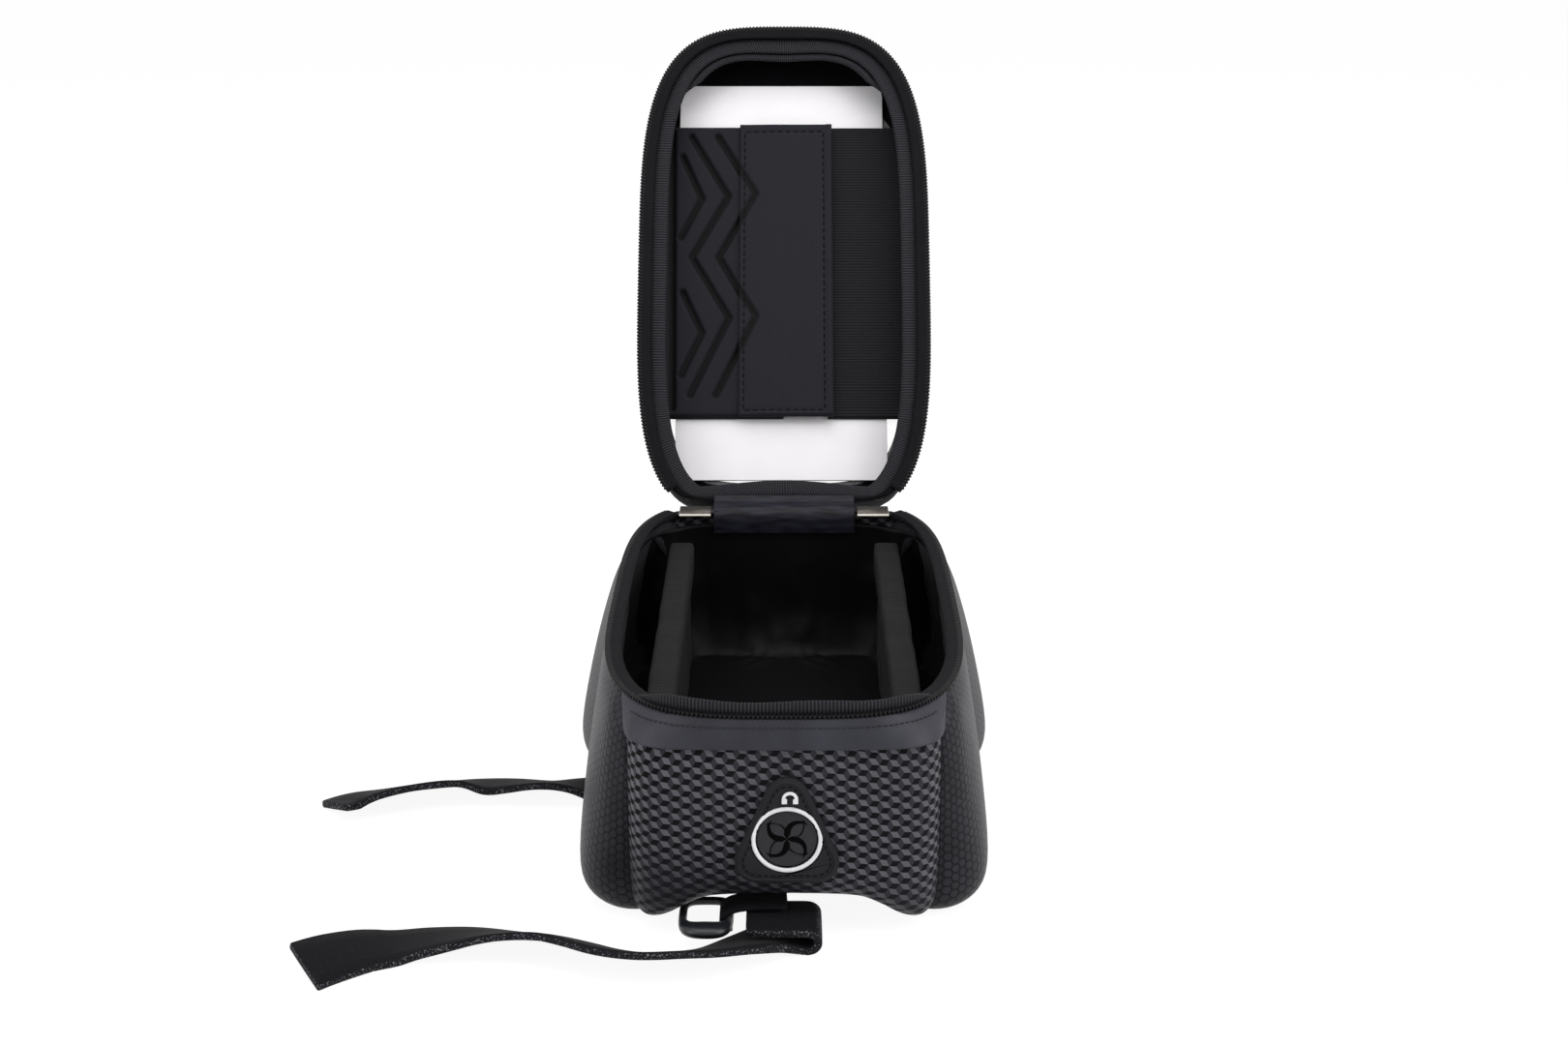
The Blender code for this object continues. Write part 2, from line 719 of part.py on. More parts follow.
def build_slider(side, name, material):
    """Flat metal slider on the end of the zip, with a lug that carries its pull."""
    low = RIM_HEIGHT + SLIDER_SPACE
    high = LID_BASE - SLIDER_SPACE
    near = RIM_FAR - SLIDER_REACH
    lug_near = RIM_FAR + SLIDER_SPACE
    section = [(near, low), (lug_near, low), (lug_near, RIM_HEIGHT - LUG_DEPTH),
               (lug_outside(), RIM_HEIGHT - LUG_DEPTH), (lug_outside(), high - SLIDER_ROUND),
               (lug_outside() - SLIDER_ROUND, high), (near + SLIDER_ROUND, high), (near, high - SLIDER_ROUND)]
    bm = prism_along_x(section, side * SLIDER_PLACE, side * (SLIDER_PLACE + SLIDER_LENGTH))
    return add_object(name, bm, material, smooth=False)


def lug_outside():
    return RIM_FAR + SLIDER_SPACE + LUG_THICKNESS


def pull_axis(side):
    """Point on the axis that a pull tab swings about."""
    y = lug_outside() + GAP + PULL_THICKNESS / 2
    return Vector((side * (SLIDER_PLACE + SLIDER_LENGTH / 2), y, RIM_HEIGHT - LUG_DEPTH / 2))


def build_pull_tab(side, name, material):
    """Slim pull that hangs outside the far wall, with its origin on its axis."""
    half = PULL_WIDTH / 2
    top = PULL_THICKNESS / 2
    tip = top - PULL_LENGTH
    inside = half - PULL_CORNER / 2
    outline = [(-inside, top), (inside, top), (half, top - PULL_CORNER), (half, tip + PULL_CORNER),
               (inside, tip), (-inside, tip), (-half, tip + PULL_CORNER), (-half, top - PULL_CORNER)]
    bm = extrude_section(outline, -PULL_THICKNESS / 2, PULL_THICKNESS / 2)
    item = add_object(name, bm, material, smooth=False)
    item.location = pull_axis(side)
    return item


def lid_outline():
    steps = 60
    right = [rim_point(math.pi * step / (steps // 2)) for step in range(steps // 2 + 1)]
    left = [(-x, y) for x, y in right[1:-1]]
    return right + left[::-1]


def window_point(point, lap=0.0):
    """Point of the window's edge in the same direction as a point of the lid's outline."""
    angle = math.atan2(point[0], -point[1])
    return superellipse(angle, WINDOW_HALF_WIDTH + lap, WINDOW_NEAR + lap, WINDOW_FAR + lap,
                        WINDOW_SQUARENESS, WINDOW_SQUARENESS)


def build_lid_shell(material):
    """Moulded lid with round shoulders and a wide window opening."""
    outer = []
    inner = []
    bend = LID_TOP - LID_ROUND
    for point in lid_outline():
        edge = window_point(point)
        out = [ring_point(point, 0.0, z) for z in (LID_BASE, bend)]
        within = [ring_point(point, LID_WALL, z) for z in (LID_BASE, bend)]
        for angle in (45, 90):
            turn = math.radians(angle)
            inset = 1 - math.cos(turn)
            out.append(ring_point(point, LID_ROUND * inset, bend + LID_ROUND * math.sin(turn)))
            radius = LID_ROUND - LID_WALL
            within.append(ring_point(point, LID_WALL + radius * inset, bend + radius * math.sin(turn)))
        out.append(Vector((edge[0], edge[1], LID_TOP)))
        within.append(Vector((edge[0], edge[1], LID_TOP - LID_WALL)))
        outer.append(out)
        inner.append(within)
    return add_object("lid_shell", solid_from_layers(outer, inner, True), material)


def build_window_film(material):
    outline = [window_point(p, FILM_LAP) for p in lid_outline()]
    high = LID_TOP - LID_WALL - GAP
    return add_object("window_film", plate_from_outline(outline, high - FILM_THICKNESS, high), material)


def build_lid_binding(material):
    """Ribbed tape around the lid's mouth."""
    low = LID_BASE + LID_BINDING_SETBACK
    levels = (low + BINDING_THICKNESS, low)
    start = LID_WALL + GAP
    outer = [[ring_point(p, start, z) for z in levels] for p in lid_outline()]
    inner = [[ring_point(p, start + LID_BINDING_WIDTH, z) for z in levels] for p in lid_outline()]
    return add_object("lid_binding", solid_from_layers(outer, inner, True), material)


def card_top():
    return LID_TOP - LID_WALL - FILM_THICKNESS - 2 * GAP


def build_phone_card(material):
    """Blank card of a phone's size, held behind the strap."""
    half = CARD_WIDTH / 2
    corners = [(half, -CARD_NEAR, -90), (half, -CARD_NEAR + CARD_LENGTH, 0),
               (-half, -CARD_NEAR + CARD_LENGTH, 90), (-half, -CARD_NEAR, 180)]
    outline = []
    for x, y, start in corners:
        centre_x = x - math.copysign(CARD_CORNER, x)
        centre_y = y - math.copysign(CARD_CORNER, y)
        for step in range(5):
            turn = math.radians(start + 90 * step / 4)
            outline.append((CARD_OFFSET + centre_x + CARD_CORNER * math.cos(turn),
                            centre_y + CARD_CORNER * math.sin(turn)))
    high = card_top()
    return add_object("phone_card", plate_from_outline(outline, high - CARD_THICKNESS, high), material)


def strap_seat_half_width():
    """How far the phone strap reaches to each side inside the lid, at its narrower end."""
    spread = 1.0 - (PHONE_STRAP_NEAR / RIM_NEAR) ** NEAR_SQUARENESS
    return RIM_HALF_WIDTH * spread ** (1.0 / NEAR_SQUARENESS) - LID_WALL - 4 * GAP


def build_phone_strap_part(name, left, right, high, thickness, material):
    bm = box((left, -PHONE_STRAP_NEAR, high - thickness), (right, PHONE_STRAP_FAR, high))
    edges = [e for e in bm.edges if abs(e.verts[0].co.z - e.verts[1].co.z) < GAP]
    bmesh.ops.bevel(bm, geom=edges, offset=thickness * 0.3, segments=1, affect="EDGES")
    return add_object(name, bm, material)


def build_phone_strap(wing_material, flap_material, elastic_material):
    high = card_top() - CARD_THICKNESS - GAP
    reach = strap_seat_half_width()
    wing = build_phone_strap_part("phone_strap_wing", -reach + GAP, WING_SPLIT - GAP / 2, high,
                                  WING_THICKNESS, wing_material)
    elastic = build_phone_strap_part("phone_strap_elastic", WING_SPLIT + GAP / 2, reach - GAP, high,
                                     ELASTIC_THICKNESS, elastic_material)
    flap = build_phone_strap_part("phone_strap_flap", FLAP_LEFT, FLAP_RIGHT,
                                  high - WING_THICKNESS - GAP, FLAP_THICKNESS, flap_material)
    return [wing, elastic, flap]


def round_outline(centre, radius, count=28):
    return [(centre[0] + radius * math.cos(2 * math.pi * i / count),
             centre[1] + radius * math.sin(2 * math.pi * i / count)) for i in range(count)]


def patch_outline():
    """Rounded triangle, one corner up."""
    corners = [(0.0, PATCH_TOP - PATCH_CORNER, 25, 155),
               (-PATCH_HALF_WIDTH + PATCH_CORNER, PATCH_BOTTOM + PATCH_CORNER, 155, 270),
               (PATCH_HALF_WIDTH - PATCH_CORNER, PATCH_BOTTOM + PATCH_CORNER, 270, 385)]
    outline = []
    for x, z, start, end in corners:
        for step in range(7):
            turn = math.radians(start + (end - start) * step / 6)
            outline.append((PORT_OFFSET + x + PATCH_CORNER * math.cos(turn), z + PATCH_CORNER * math.sin(turn)))
    return outline


def build_port(patch_material, white_material, membrane_material):
    """Rubber patch, white ring, slit membrane and the small symbol of a pair of earphones."""
    face = -BODY_NEAR - GAP
    front = face - PATCH_THICKNESS
    centre = (PORT_CENTRE.x, PORT_CENTRE.z)
    patch = add_object("port_patch", extrude_section(patch_outline(), front, face), patch_material)
    hole = make_cutter("port_patch_hole", extrude_section(
        round_outline(centre, PORT_RING_RADIUS + GAP), front - CUTTER_REACH, face + CUTTER_REACH))
    cut(patch, hole)
    ring_bm = ring_solid(centre, PORT_RING_RADIUS, PORT_RING_RADIUS - PORT_RING_BAND,
                         front - PORT_RING_PROUD, face)
    add_object("port_ring", ring_bm, white_material)
    inner_radius = PORT_RING_RADIUS - PORT_RING_BAND - GAP
    membrane = add_object("port_membrane", extrude_section(
        round_outline(centre, inner_radius), face - MEMBRANE_THICKNESS, face), membrane_material)
    cut(membrane, make_cutter("port_slits", slit_shapes(centre, inner_radius * SLIT_END, face)))
    build_port_symbol(front, white_material)


def ring_solid(centre, outer_radius, inner_radius, near, far):
    bm = bmesh.new()
    count = 32
    loops = []
    for radius, y in ((outer_radius, near), (outer_radius, far), (inner_radius, far), (inner_radius, near)):
        loops.append([bm.verts.new((x, y, z)) for x, z in round_outline(centre, radius, count)])
    for index in range(4):
        first, second = loops[index], loops[(index + 1) % 4]
        for step in range(count):
            after = (step + 1) % count
            bm.faces.new((first[step], first[after], second[after], second[step]))
    return bm


def slit_shapes(centre, reach, face):
    """Curved slits that run out from near the middle like a pinwheel."""
    bm = bmesh.new()
    steps = 5
    for number in range(SLIT_COUNT):
        turn = 2 * math.pi * number / SLIT_COUNT
        left = []
        right = []
        for step in range(steps + 1):
            radius = reach * (SLIT_START + (1.0 - SLIT_START) * step / steps)
            angle = turn + SLIT_TURN * (step / steps) ** 1.3
            direction = Vector((math.cos(angle), math.sin(angle)))
            across = Vector((-direction.y, direction.x)) * SLIT_WIDTH / 2
            place = Vector(centre) + direction * radius
            left.append(place + across)
            right.append(place - across)
        outline = left + right[::-1]
        first = [bm.verts.new((p.x, face - MEMBRANE_THICKNESS - CUTTER_REACH, p.y)) for p in outline]
        second = [bm.verts.new((p.x, face + CUTTER_REACH, p.y)) for p in outline]
        bm.faces.new(first)
        bm.faces.new(second)
        for index in range(len(outline)):
            after = (index + 1) % len(outline)
            bm.faces.new((first[index], first[after], second[after], second[index]))
    bmesh.ops.triangulate(bm, faces=bm.faces)
    return bm


def build_port_symbol(front, material):
    """An arch with two thick ends, lying on the patch above the ring."""
    x = PORT_OFFSET + SYMBOL_OFFSET
    low = PORT_HEIGHT + PORT_RING_RADIUS + 4 * GAP
    cup_top = low + SYMBOL_CUP_HEIGHT
    cup_inside = SYMBOL_RADIUS - SYMBOL_CUP_WIDTH
    inner_radius = SYMBOL_RADIUS - SYMBOL_BAND
    outline = []
    for step in range(9):
        turn = math.pi * step / 8
        outline.append((x + SYMBOL_RADIUS * math.cos(turn), cup_top + SYMBOL_RADIUS * math.sin(turn)))
    outline += [(x - SYMBOL_RADIUS, low), (x - cup_inside, low), (x - cup_inside, cup_top)]
    for step in range(8, -1, -1):
        turn = math.pi * step / 8
        outline.append((x + inner_radius * math.cos(turn), cup_top + GAP + inner_radius * 0.8 * math.sin(turn)))
    outline += [(x + cup_inside, cup_top), (x + cup_inside, low), (x + SYMBOL_RADIUS, low)]
    bm = extrude_section(outline, front - GAP - SYMBOL_THICKNESS, front - GAP)
    bmesh.ops.triangulate(bm, faces=bm.faces)
    return add_object("port_symbol", bm, material, smooth=False)


def ribbon(stations, width, thickness):
    """Flat band swept along stations of (x, y, z, tilt): tilt turns it about its own line.

    Its width lies square to its run, and stays along Y where it folds back over itself.
    """
    bm = bmesh.new()
    rings = []
    places = [Vector(s[:3]) for s in stations]
    for index, station in enumerate(stations):
        ahead = places[min(index + 1, len(places) - 1)]
        behind = places[max(index - 1, 0)]
        tangent = (ahead - behind).normalized()
        turned = tangent.x * tangent.y / (tangent.x ** 2 + STRAP_FOLD_SHEAR)
        across = Vector((turned, -1.0, 0.0)).normalized()
        normal = across.cross(tangent).normalized()
        turn = math.radians(station[3])
        side = (across * math.cos(turn) + normal * math.sin(turn)) * width / 2
        lift = (normal * math.cos(turn) - across * math.sin(turn)) * thickness / 2
        rings.append([bm.verts.new(places[index] + offset)
                      for offset in (side + lift, side - lift, -side - lift, -side + lift)])
    for first, second in zip(rings, rings[1:]):
        for step in range(4):
            after = (step + 1) % 4
            bm.faces.new((first[step], first[after], second[after], second[step]))
    bm.faces.new(rings[0])
    bm.faces.new(rings[-1])
    bmesh.ops.triangulate(bm, faces=bm.faces)
    return bm


def lying_height(tilt):
    """Height of a strap's centre line above the ground where it lies tilted on one edge."""
    turn = math.radians(tilt)
    return STRAP_WIDTH / 2 * abs(math.sin(turn)) + STRAP_THICKNESS / 2 * math.cos(turn)


def near_strap_route():
    """Centre line from under the base, over the fold at the right, along the ground to the left."""
    rest = GROUND + STRAP_THICKNESS / 2
    upper = -1.5 * LOOP_THICKNESS - 3 * GAP - STRAP_THICKNESS / 2
    radius = (upper - rest) / 2
    folded = [(-0.0104, 0, upper, 0), (-0.0030, 0, upper, 0), (0.0034, 0, upper, 0)]
    for angle in range(90, -91, -30):
        turn = math.radians(angle)
        folded.append((STRAP_FOLD_PLACE + radius * math.cos(turn), 0,
                       upper - radius + radius * math.sin(turn), 0))
    lying = [(0.0030, -0.0004, -1), (-0.0030, -0.0032, -6), (-0.0100, -0.0088, -15), (-0.0190, -0.0154, -25),
             (-0.0280, -0.0178, -29), (-0.0386, -0.0184, -29), (-0.0476, -0.0162, -29), (-0.0563, -0.0120, -30),
             (-0.0650, -0.0084, -30),
             (-0.0740, -0.0070, -27), (-0.0860, -0.0050, -16), (-0.0976, -0.0054, -7), (-0.1055, -0.0066, -1),
             (-0.1137, -0.0100, 8), (-0.1214, -0.0160, 15), (-0.1275, -0.0215, 18)]
    points = folded + [(x, y, GROUND + lying_height(tilt), tilt) for x, y, tilt in lying]
    return [(x, y - BODY_NEAR, z, tilt) for x, y, z, tilt in points]


def far_strap_route():
    """Centre line from the middle of the base, out between the lobes, along the ground."""
    rest = GROUND + STRAP_THICKNESS / 2
    # On the arch's slope the strap takes more height than half its thickness
    under = 3 * GAP + STRAP_THICKNESS * 0.62
    places = [FAR_STRAP_START - 0.0052 * step for step in range(8)]
    points = [(x, 0.0, max(arch_height(x) - under, rest), 0) for x in places]
    seat_end = min(x for x, y, z, tilt in points)
    points += [(seat_end - STRAP_LEAVES_SEAT, 0.0, rest, 0), (-0.0520, 0.0, rest, 0)]
    lying = [(-0.0620, -0.0010, -6), (-0.0728, -0.0030, -22), (-0.0856, -0.0016, -16), (-0.0940, -0.0016, -14),
             (-0.1028, -0.0024, -24), (-0.1140, -0.0050, -25), (-0.1255, -0.0092, -22), (-0.1335, -0.0120, -14),
             (-0.1390, -0.0165, -16)]
    return points + [(x, y, GROUND + lying_height(tilt), tilt) for x, y, tilt in lying]


def build_strap(name, route, material):
    path = spline(route, 6)
    length = sum(math.dist(first[:3], second[:3]) for first, second in zip(path, path[1:]))
    stations = even_points(path, round(length / STRAP_STATION))
    bm = ribbon(stations, STRAP_WIDTH, STRAP_THICKNESS)
    for vert in bm.verts:
        vert.co.z = max(vert.co.z, GROUND)
    return add_object(name, bm, material, smooth=False)


def build_strap_ring(material):
    """Oblong plastic ring beside the near strap, with a broad round bar at its near end."""
    centre = Vector((*RING_PLACE, GROUND + STRAP_THICKNESS + RING_LIFT + RING_BAR / 2))
    count = 24
    sides = 8
    half_x = RING_WIDTH / 2
    half_y = RING_LENGTH / 2
    slot_near = half_y - RING_FRONT_BAR
    slot_far = half_y - RING_BAR
    slot_middle = (slot_far - slot_near) / 2
    slot_half = (slot_far + slot_near) / 2
    bm = bmesh.new()
    rings = []
    for index in range(count):
        angle = 2 * math.pi * index / count
        outer = Vector(superellipse(angle, half_x, half_y, half_y, RING_NEAR_SQUARENESS, RING_FAR_SQUARENESS))
        slot = Vector(superellipse(angle, half_x - RING_BAR, slot_half, slot_half,
                                   RING_FAR_SQUARENESS, RING_FAR_SQUARENESS))
        slot.y += slot_middle
        middle = (outer + slot) / 2
        reach = (outer - slot) / 2
        rise = RING_FRONT_RISE * max(math.cos(angle), 0.0) ** 2 / 2
        ring = []
        for step in range(sides):
            turn = 2 * math.pi * step / sides
            place = middle + reach * math.cos(turn)
            height = rise + (RING_BAR / 2 + rise) * math.sin(turn)
            ring.append(bm.verts.new(centre + Vector((place.x, place.y, height))))
        rings.append(ring)
    for index in range(count):
        first, second = rings[index], rings[(index + 1) % count]
        for step in range(sides):
            after = (step + 1) % sides
            bm.faces.new((first[step], first[after], second[after], second[step]))
    return add_object("strap_ring", bm, material)


def build_ring_loop(material):
    """Webbing sewn under the base that wraps round the ring's inner bar."""
    bar_x = RING_PLACE[0] + RING_WIDTH / 2 - RING_BAR / 2
    bar_z = GROUND + STRAP_THICKNESS + RING_LIFT + RING_BAR / 2
    reach = RING_BAR / 2 + 2 * GAP + LOOP_THICKNESS / 2
    under_base = -GAP - LOOP_THICKNESS / 2
    y = RING_PLACE[1] + LOOP_SETBACK
    stations = [(bar_x + share * LOOP_TAIL, y, under_base, 0) for share in (1.0, 0.5)]
    stations.append((bar_x + LOOP_TAIL / 8, y, under_base - 2 * GAP, 0))
    for angle in (115, 140, 165, 190, 215, 240, 265, 290):
        turn = math.radians(angle)
        stations.append((bar_x + reach * math.cos(turn), y, bar_z + reach * math.sin(turn), 0))
    return add_object("ring_loop", ribbon(stations, LOOP_WIDTH, LOOP_THICKNESS), material, smooth=False)


def hang_lid(pieces):
    """Carry the shut lid on an empty at the hinge and swing it open."""
    pivot = bpy.data.objects.new("lid_hinge_axis", None)
    bpy.context.collection.objects.link(pivot)
    pivot.location = (0.0, HINGE_Y, HINGE_Z)
    for piece in pieces:
        piece.parent = pivot
        piece.location = (0.0, -HINGE_Y, -HINGE_Z)
    pivot.rotation_euler = (math.radians(-LID_OPEN_ANGLE), 0.0, 0.0)


def main():
    clear_scene()
    cube_skin = make_material("cube_skin", (0.028, 0.028, 0.034), 0.42)
    hex_skin = make_material("hex_skin", (0.022, 0.022, 0.028), 0.45)
    smooth_skin = make_material("smooth_skin", (0.035, 0.035, 0.043), 0.4)
    lid_skin = make_material("lid_skin", (0.02, 0.02, 0.025), 0.45)
    nylon = make_material("nylon", (0.008, 0.008, 0.010), 0.7)
    felt = make_material("felt", (0.012, 0.012, 0.014), 0.95)
    grosgrain = make_material("grosgrain", (0.015, 0.015, 0.017), 0.85)
    zip_tape = make_material("zip_tape", (0.010, 0.010, 0.012), 0.9)
    zip_coil = make_material("zip_coil", (0.012, 0.012, 0.014), 0.4)
    satin = make_material("satin", (0.015, 0.016, 0.022), 0.5)
    rubber = make_material("rubber", (0.018, 0.018, 0.020), 0.6)
    white_rubber = make_material("white_rubber", (0.85, 0.83, 0.86), 0.5)
    slider_metal = make_material("slider_metal", (0.62, 0.58, 0.54), 0.3, 1.0)
    clear_film = make_material("clear_film", (0.8, 0.8, 0.82), 0.1, 0.0, 0.3)
    card = make_material("card", (0.85, 0.83, 0.85), 0.7)
    foam_fabric = make_material("foam_fabric", (0.012, 0.012, 0.014), 0.8)
    elastic = make_material("elastic", (0.008, 0.008, 0.010), 0.9)
    webbing = make_material("webbing", (0.008, 0.008, 0.010), 0.9)
    ring_plastic = make_material("ring_plastic", (0.02, 0.021, 0.025), 0.45)

    near_right = near_columns()
    far_right = far_columns()
    near_panel = build_wall_panel("near_panel", mirrored(near_right)[:0:-1] + near_right, cube_skin)
    build_wall_panel("far_panel", far_right + mirrored(far_right)[-2::-1], cube_skin)
    build_wall_panel("right_side_panel", side_columns(), hex_skin)
    build_wall_panel("left_side_panel", mirrored(side_columns()), hex_skin)
    build_base_panel(hex_skin)
    build_rim_band(smooth_skin)
    lining = build_lining(nylon)
    port_hole = make_cutter("port_hole", extrude_section(
        round_outline((PORT_CENTRE.x, PORT_CENTRE.z), PORT_HOLE_RADIUS),
        -BODY_NEAR - CUTTER_REACH, -RIM_NEAR + WALL + 4 * CUTTER_REACH))
    cut(near_panel, port_hole)
    cut(lining, port_hole)
    build_port(rubber, white_rubber, rubber)
    build_rim_binding(grosgrain)
    for side, word in ((-1, "left"), (1, "right")):
        build_divider(side, word + "_divider", felt)
        build_divider_binding(side, word + "_divider_binding", grosgrain)
        build_slider(side, word + "_slider", slider_metal)
        build_pull_tab(side, word + "_pull_tab", slider_metal)
    build_zip_tape("body_zip_tape", RIM_HEIGHT + GAP, zip_tape)
    build_zip_coil("body_zip_coil", HINGE_Z - GAP / 2 - COIL_HALF_HEIGHT, zip_coil)
    build_hinge_fabric(satin)
    build_strap("near_strap", near_strap_route(), webbing)
    build_strap("far_strap", far_strap_route(), webbing)
    build_strap_ring(ring_plastic)
    build_ring_loop(webbing)

    lid = [build_lid_shell(lid_skin), build_window_film(clear_film), build_lid_binding(grosgrain),
           build_phone_card(card),
           build_zip_tape("lid_zip_tape", LID_BASE - GAP - TAPE_THICKNESS, zip_tape),
           build_zip_coil("lid_zip_coil", HINGE_Z + GAP / 2 + COIL_HALF_HEIGHT, zip_coil)]
    lid += build_phone_strap(foam_fabric, foam_fabric, elastic)
    hang_lid(lid)


main()
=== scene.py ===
"""Top tube phone bag: the looks of every piece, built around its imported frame.

Laid out as a Blender add-on and run as a script. Lengths are in metres, +Z is up and -Y is
towards the rider. Lid pieces are modelled shut and then swung open about the hinge.
"""

import json
import math

import bmesh
import bpy
import numpy as np
from mathutils import Matrix, Vector, noise
from mathutils.bvhtree import BVHTree


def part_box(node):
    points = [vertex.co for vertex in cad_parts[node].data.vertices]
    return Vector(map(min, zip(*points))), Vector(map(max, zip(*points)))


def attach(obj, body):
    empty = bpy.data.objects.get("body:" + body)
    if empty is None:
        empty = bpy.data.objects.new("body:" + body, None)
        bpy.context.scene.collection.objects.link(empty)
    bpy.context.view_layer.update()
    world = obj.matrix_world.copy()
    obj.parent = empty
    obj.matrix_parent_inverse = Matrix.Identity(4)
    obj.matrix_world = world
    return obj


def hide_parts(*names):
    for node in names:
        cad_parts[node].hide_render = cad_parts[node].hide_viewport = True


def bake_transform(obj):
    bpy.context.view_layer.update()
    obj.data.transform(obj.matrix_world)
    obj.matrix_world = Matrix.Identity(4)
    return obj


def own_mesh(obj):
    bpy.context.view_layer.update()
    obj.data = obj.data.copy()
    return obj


bl_info = {
    "name": "Top tube phone bag",
    "version": (1, 0, 0),
    "blender": (4, 5, 0),
    "location": "View3D > Sidebar > Phone bag",
    "description": "Models and finishes a bicycle bag with a phone window, piece by piece",
    "category": "Add Mesh",
}

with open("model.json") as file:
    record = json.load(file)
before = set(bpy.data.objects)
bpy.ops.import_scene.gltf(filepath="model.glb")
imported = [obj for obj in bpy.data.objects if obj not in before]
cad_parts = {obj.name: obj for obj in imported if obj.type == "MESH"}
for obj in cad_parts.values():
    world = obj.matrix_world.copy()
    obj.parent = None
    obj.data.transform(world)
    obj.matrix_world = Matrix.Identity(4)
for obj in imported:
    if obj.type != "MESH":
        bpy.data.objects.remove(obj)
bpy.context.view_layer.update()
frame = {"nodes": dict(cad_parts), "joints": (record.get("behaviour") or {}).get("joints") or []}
NODES = frame["nodes"]
MM = 0.001

# The hinge: the lid rests open, and the joint's far limit shuts it
LID_JOINT = next(joint for joint in frame["joints"] if joint["name"] == "lid_hinge")
HINGE = Vector(LID_JOINT["pos_m"])
OPEN_ANGLE = math.radians(LID_JOINT["range_deg"][1])
OPENING = (Matrix.Translation(HINGE) @ Matrix.Rotation(-OPEN_ANGLE, 4, "X") @ Matrix.Translation(-HINGE))


def shut_box(node):
    """Lowest and highest corner of a lid node when the lid is shut."""
    places = [OPENING.inverted() @ vert.co for vert in NODES[node].data.vertices]
    return (Vector([min(p[axis] for p in places) for axis in range(3)]),
            Vector([max(p[axis] for p in places) for axis in range(3)]))


# Places read from the frame
LID_LOW, LID_HIGH = shut_box("lid_shell")
RIM_HALF_WIDTH = LID_HIGH.x
RIM_NEAR = -LID_LOW.y
RIM_FAR = LID_HIGH.y
RIM_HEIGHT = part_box("near_rim_band")[1].z
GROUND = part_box("left_side_panel")[0].z

# The rim's outline, the same curve that the frame's rim follows
RIM_FAR_CROWN = 6.5 * MM
NEAR_SQUARENESS = 3.5
FAR_SQUARENESS = 3.95
SPINE_HALF_LENGTH = 0.6 * RIM_NEAR
ZIP_END_HALF_WIDTH = 40 * MM


def superellipse(angle, half_width, near, far, near_power, far_power):
    """Point at an angle counted from -Y towards +X."""
    across = math.sin(angle)
    along = -math.cos(angle)
    reach, power = (near, near_power) if along < 0 else (far, far_power)
    radius = (abs(across / half_width) ** power + abs(along / reach) ** power) ** (-1.0 / power)
    return radius * across, radius * along


def rim_point(angle):
    x, y = superellipse(angle, RIM_HALF_WIDTH, RIM_NEAR, RIM_FAR + RIM_FAR_CROWN,
                        NEAR_SQUARENESS, FAR_SQUARENESS)
    return Vector((x, min(y, RIM_FAR), 0.0))


def even_path(points, step, closed=False):
    """Points at equal steps along a polyline, with the length up to each."""
    points = [Vector(p) for p in points]
    if closed:
        points.append(points[0])
    lengths = np.concatenate([[0.0], np.cumsum([(b - a).length for a, b in zip(points, points[1:])])])
    count = max(3, round(lengths[-1] / step))
    targets = np.linspace(0.0, lengths[-1], count + 1)
    if closed:
        targets = targets[:-1]
    array = np.array(points)
    places = np.stack([np.interp(targets, lengths, array[:, axis]) for axis in range(3)], axis=1)
    return [Vector(p) for p in places], targets


def rim_path(step):
    """The whole rim outline, closed, starting at the far middle."""
    dense = [rim_point(math.pi + 2 * math.pi * index / 720) for index in range(720)]
    return even_path(dense, step, closed=True)


def zip_path(step):
    """The stretch of the rim that the zip follows, from the far left corner round the near end."""
    end = math.pi / 2
    while rim_point(end).x > ZIP_END_HALF_WIDTH:
        end += 0.002
    dense = [rim_point(-end + 2 * end * index / 720) for index in range(721)]
    return even_path(dense, step)


def inward(point):
    """Level direction from a wall point to the body's lengthwise spine."""
    spine_y = min(max(point.y, -SPINE_HALF_LENGTH), SPINE_HALF_LENGTH)
    return Vector((-point.x, spine_y - point.y, 0.0)).normalized()


def smooth_step(value):
    value = min(max(value, 0.0), 1.0)
    return value * value * (3.0 - 2.0 * value)


def spline(points, step):
    """Smooth curve through points, read off at equal steps."""
    points = [Vector(p) for p in points]
    last = len(points) - 1
    dense = []
    for index in range(last):
        before, start = points[max(index - 1, 0)], points[index]
        end, after = points[index + 1], points[min(index + 2, last)]
        for part in range(16):
            t = part / 16
            dense.append(0.5 * (2 * start + (end - before) * t
                                + (2 * before - 5 * start + 4 * end - after) * t * t
                                + (3 * start - before - 3 * end + after) * t ** 3))
    dense.append(points[-1])
    return even_path(dense, step)


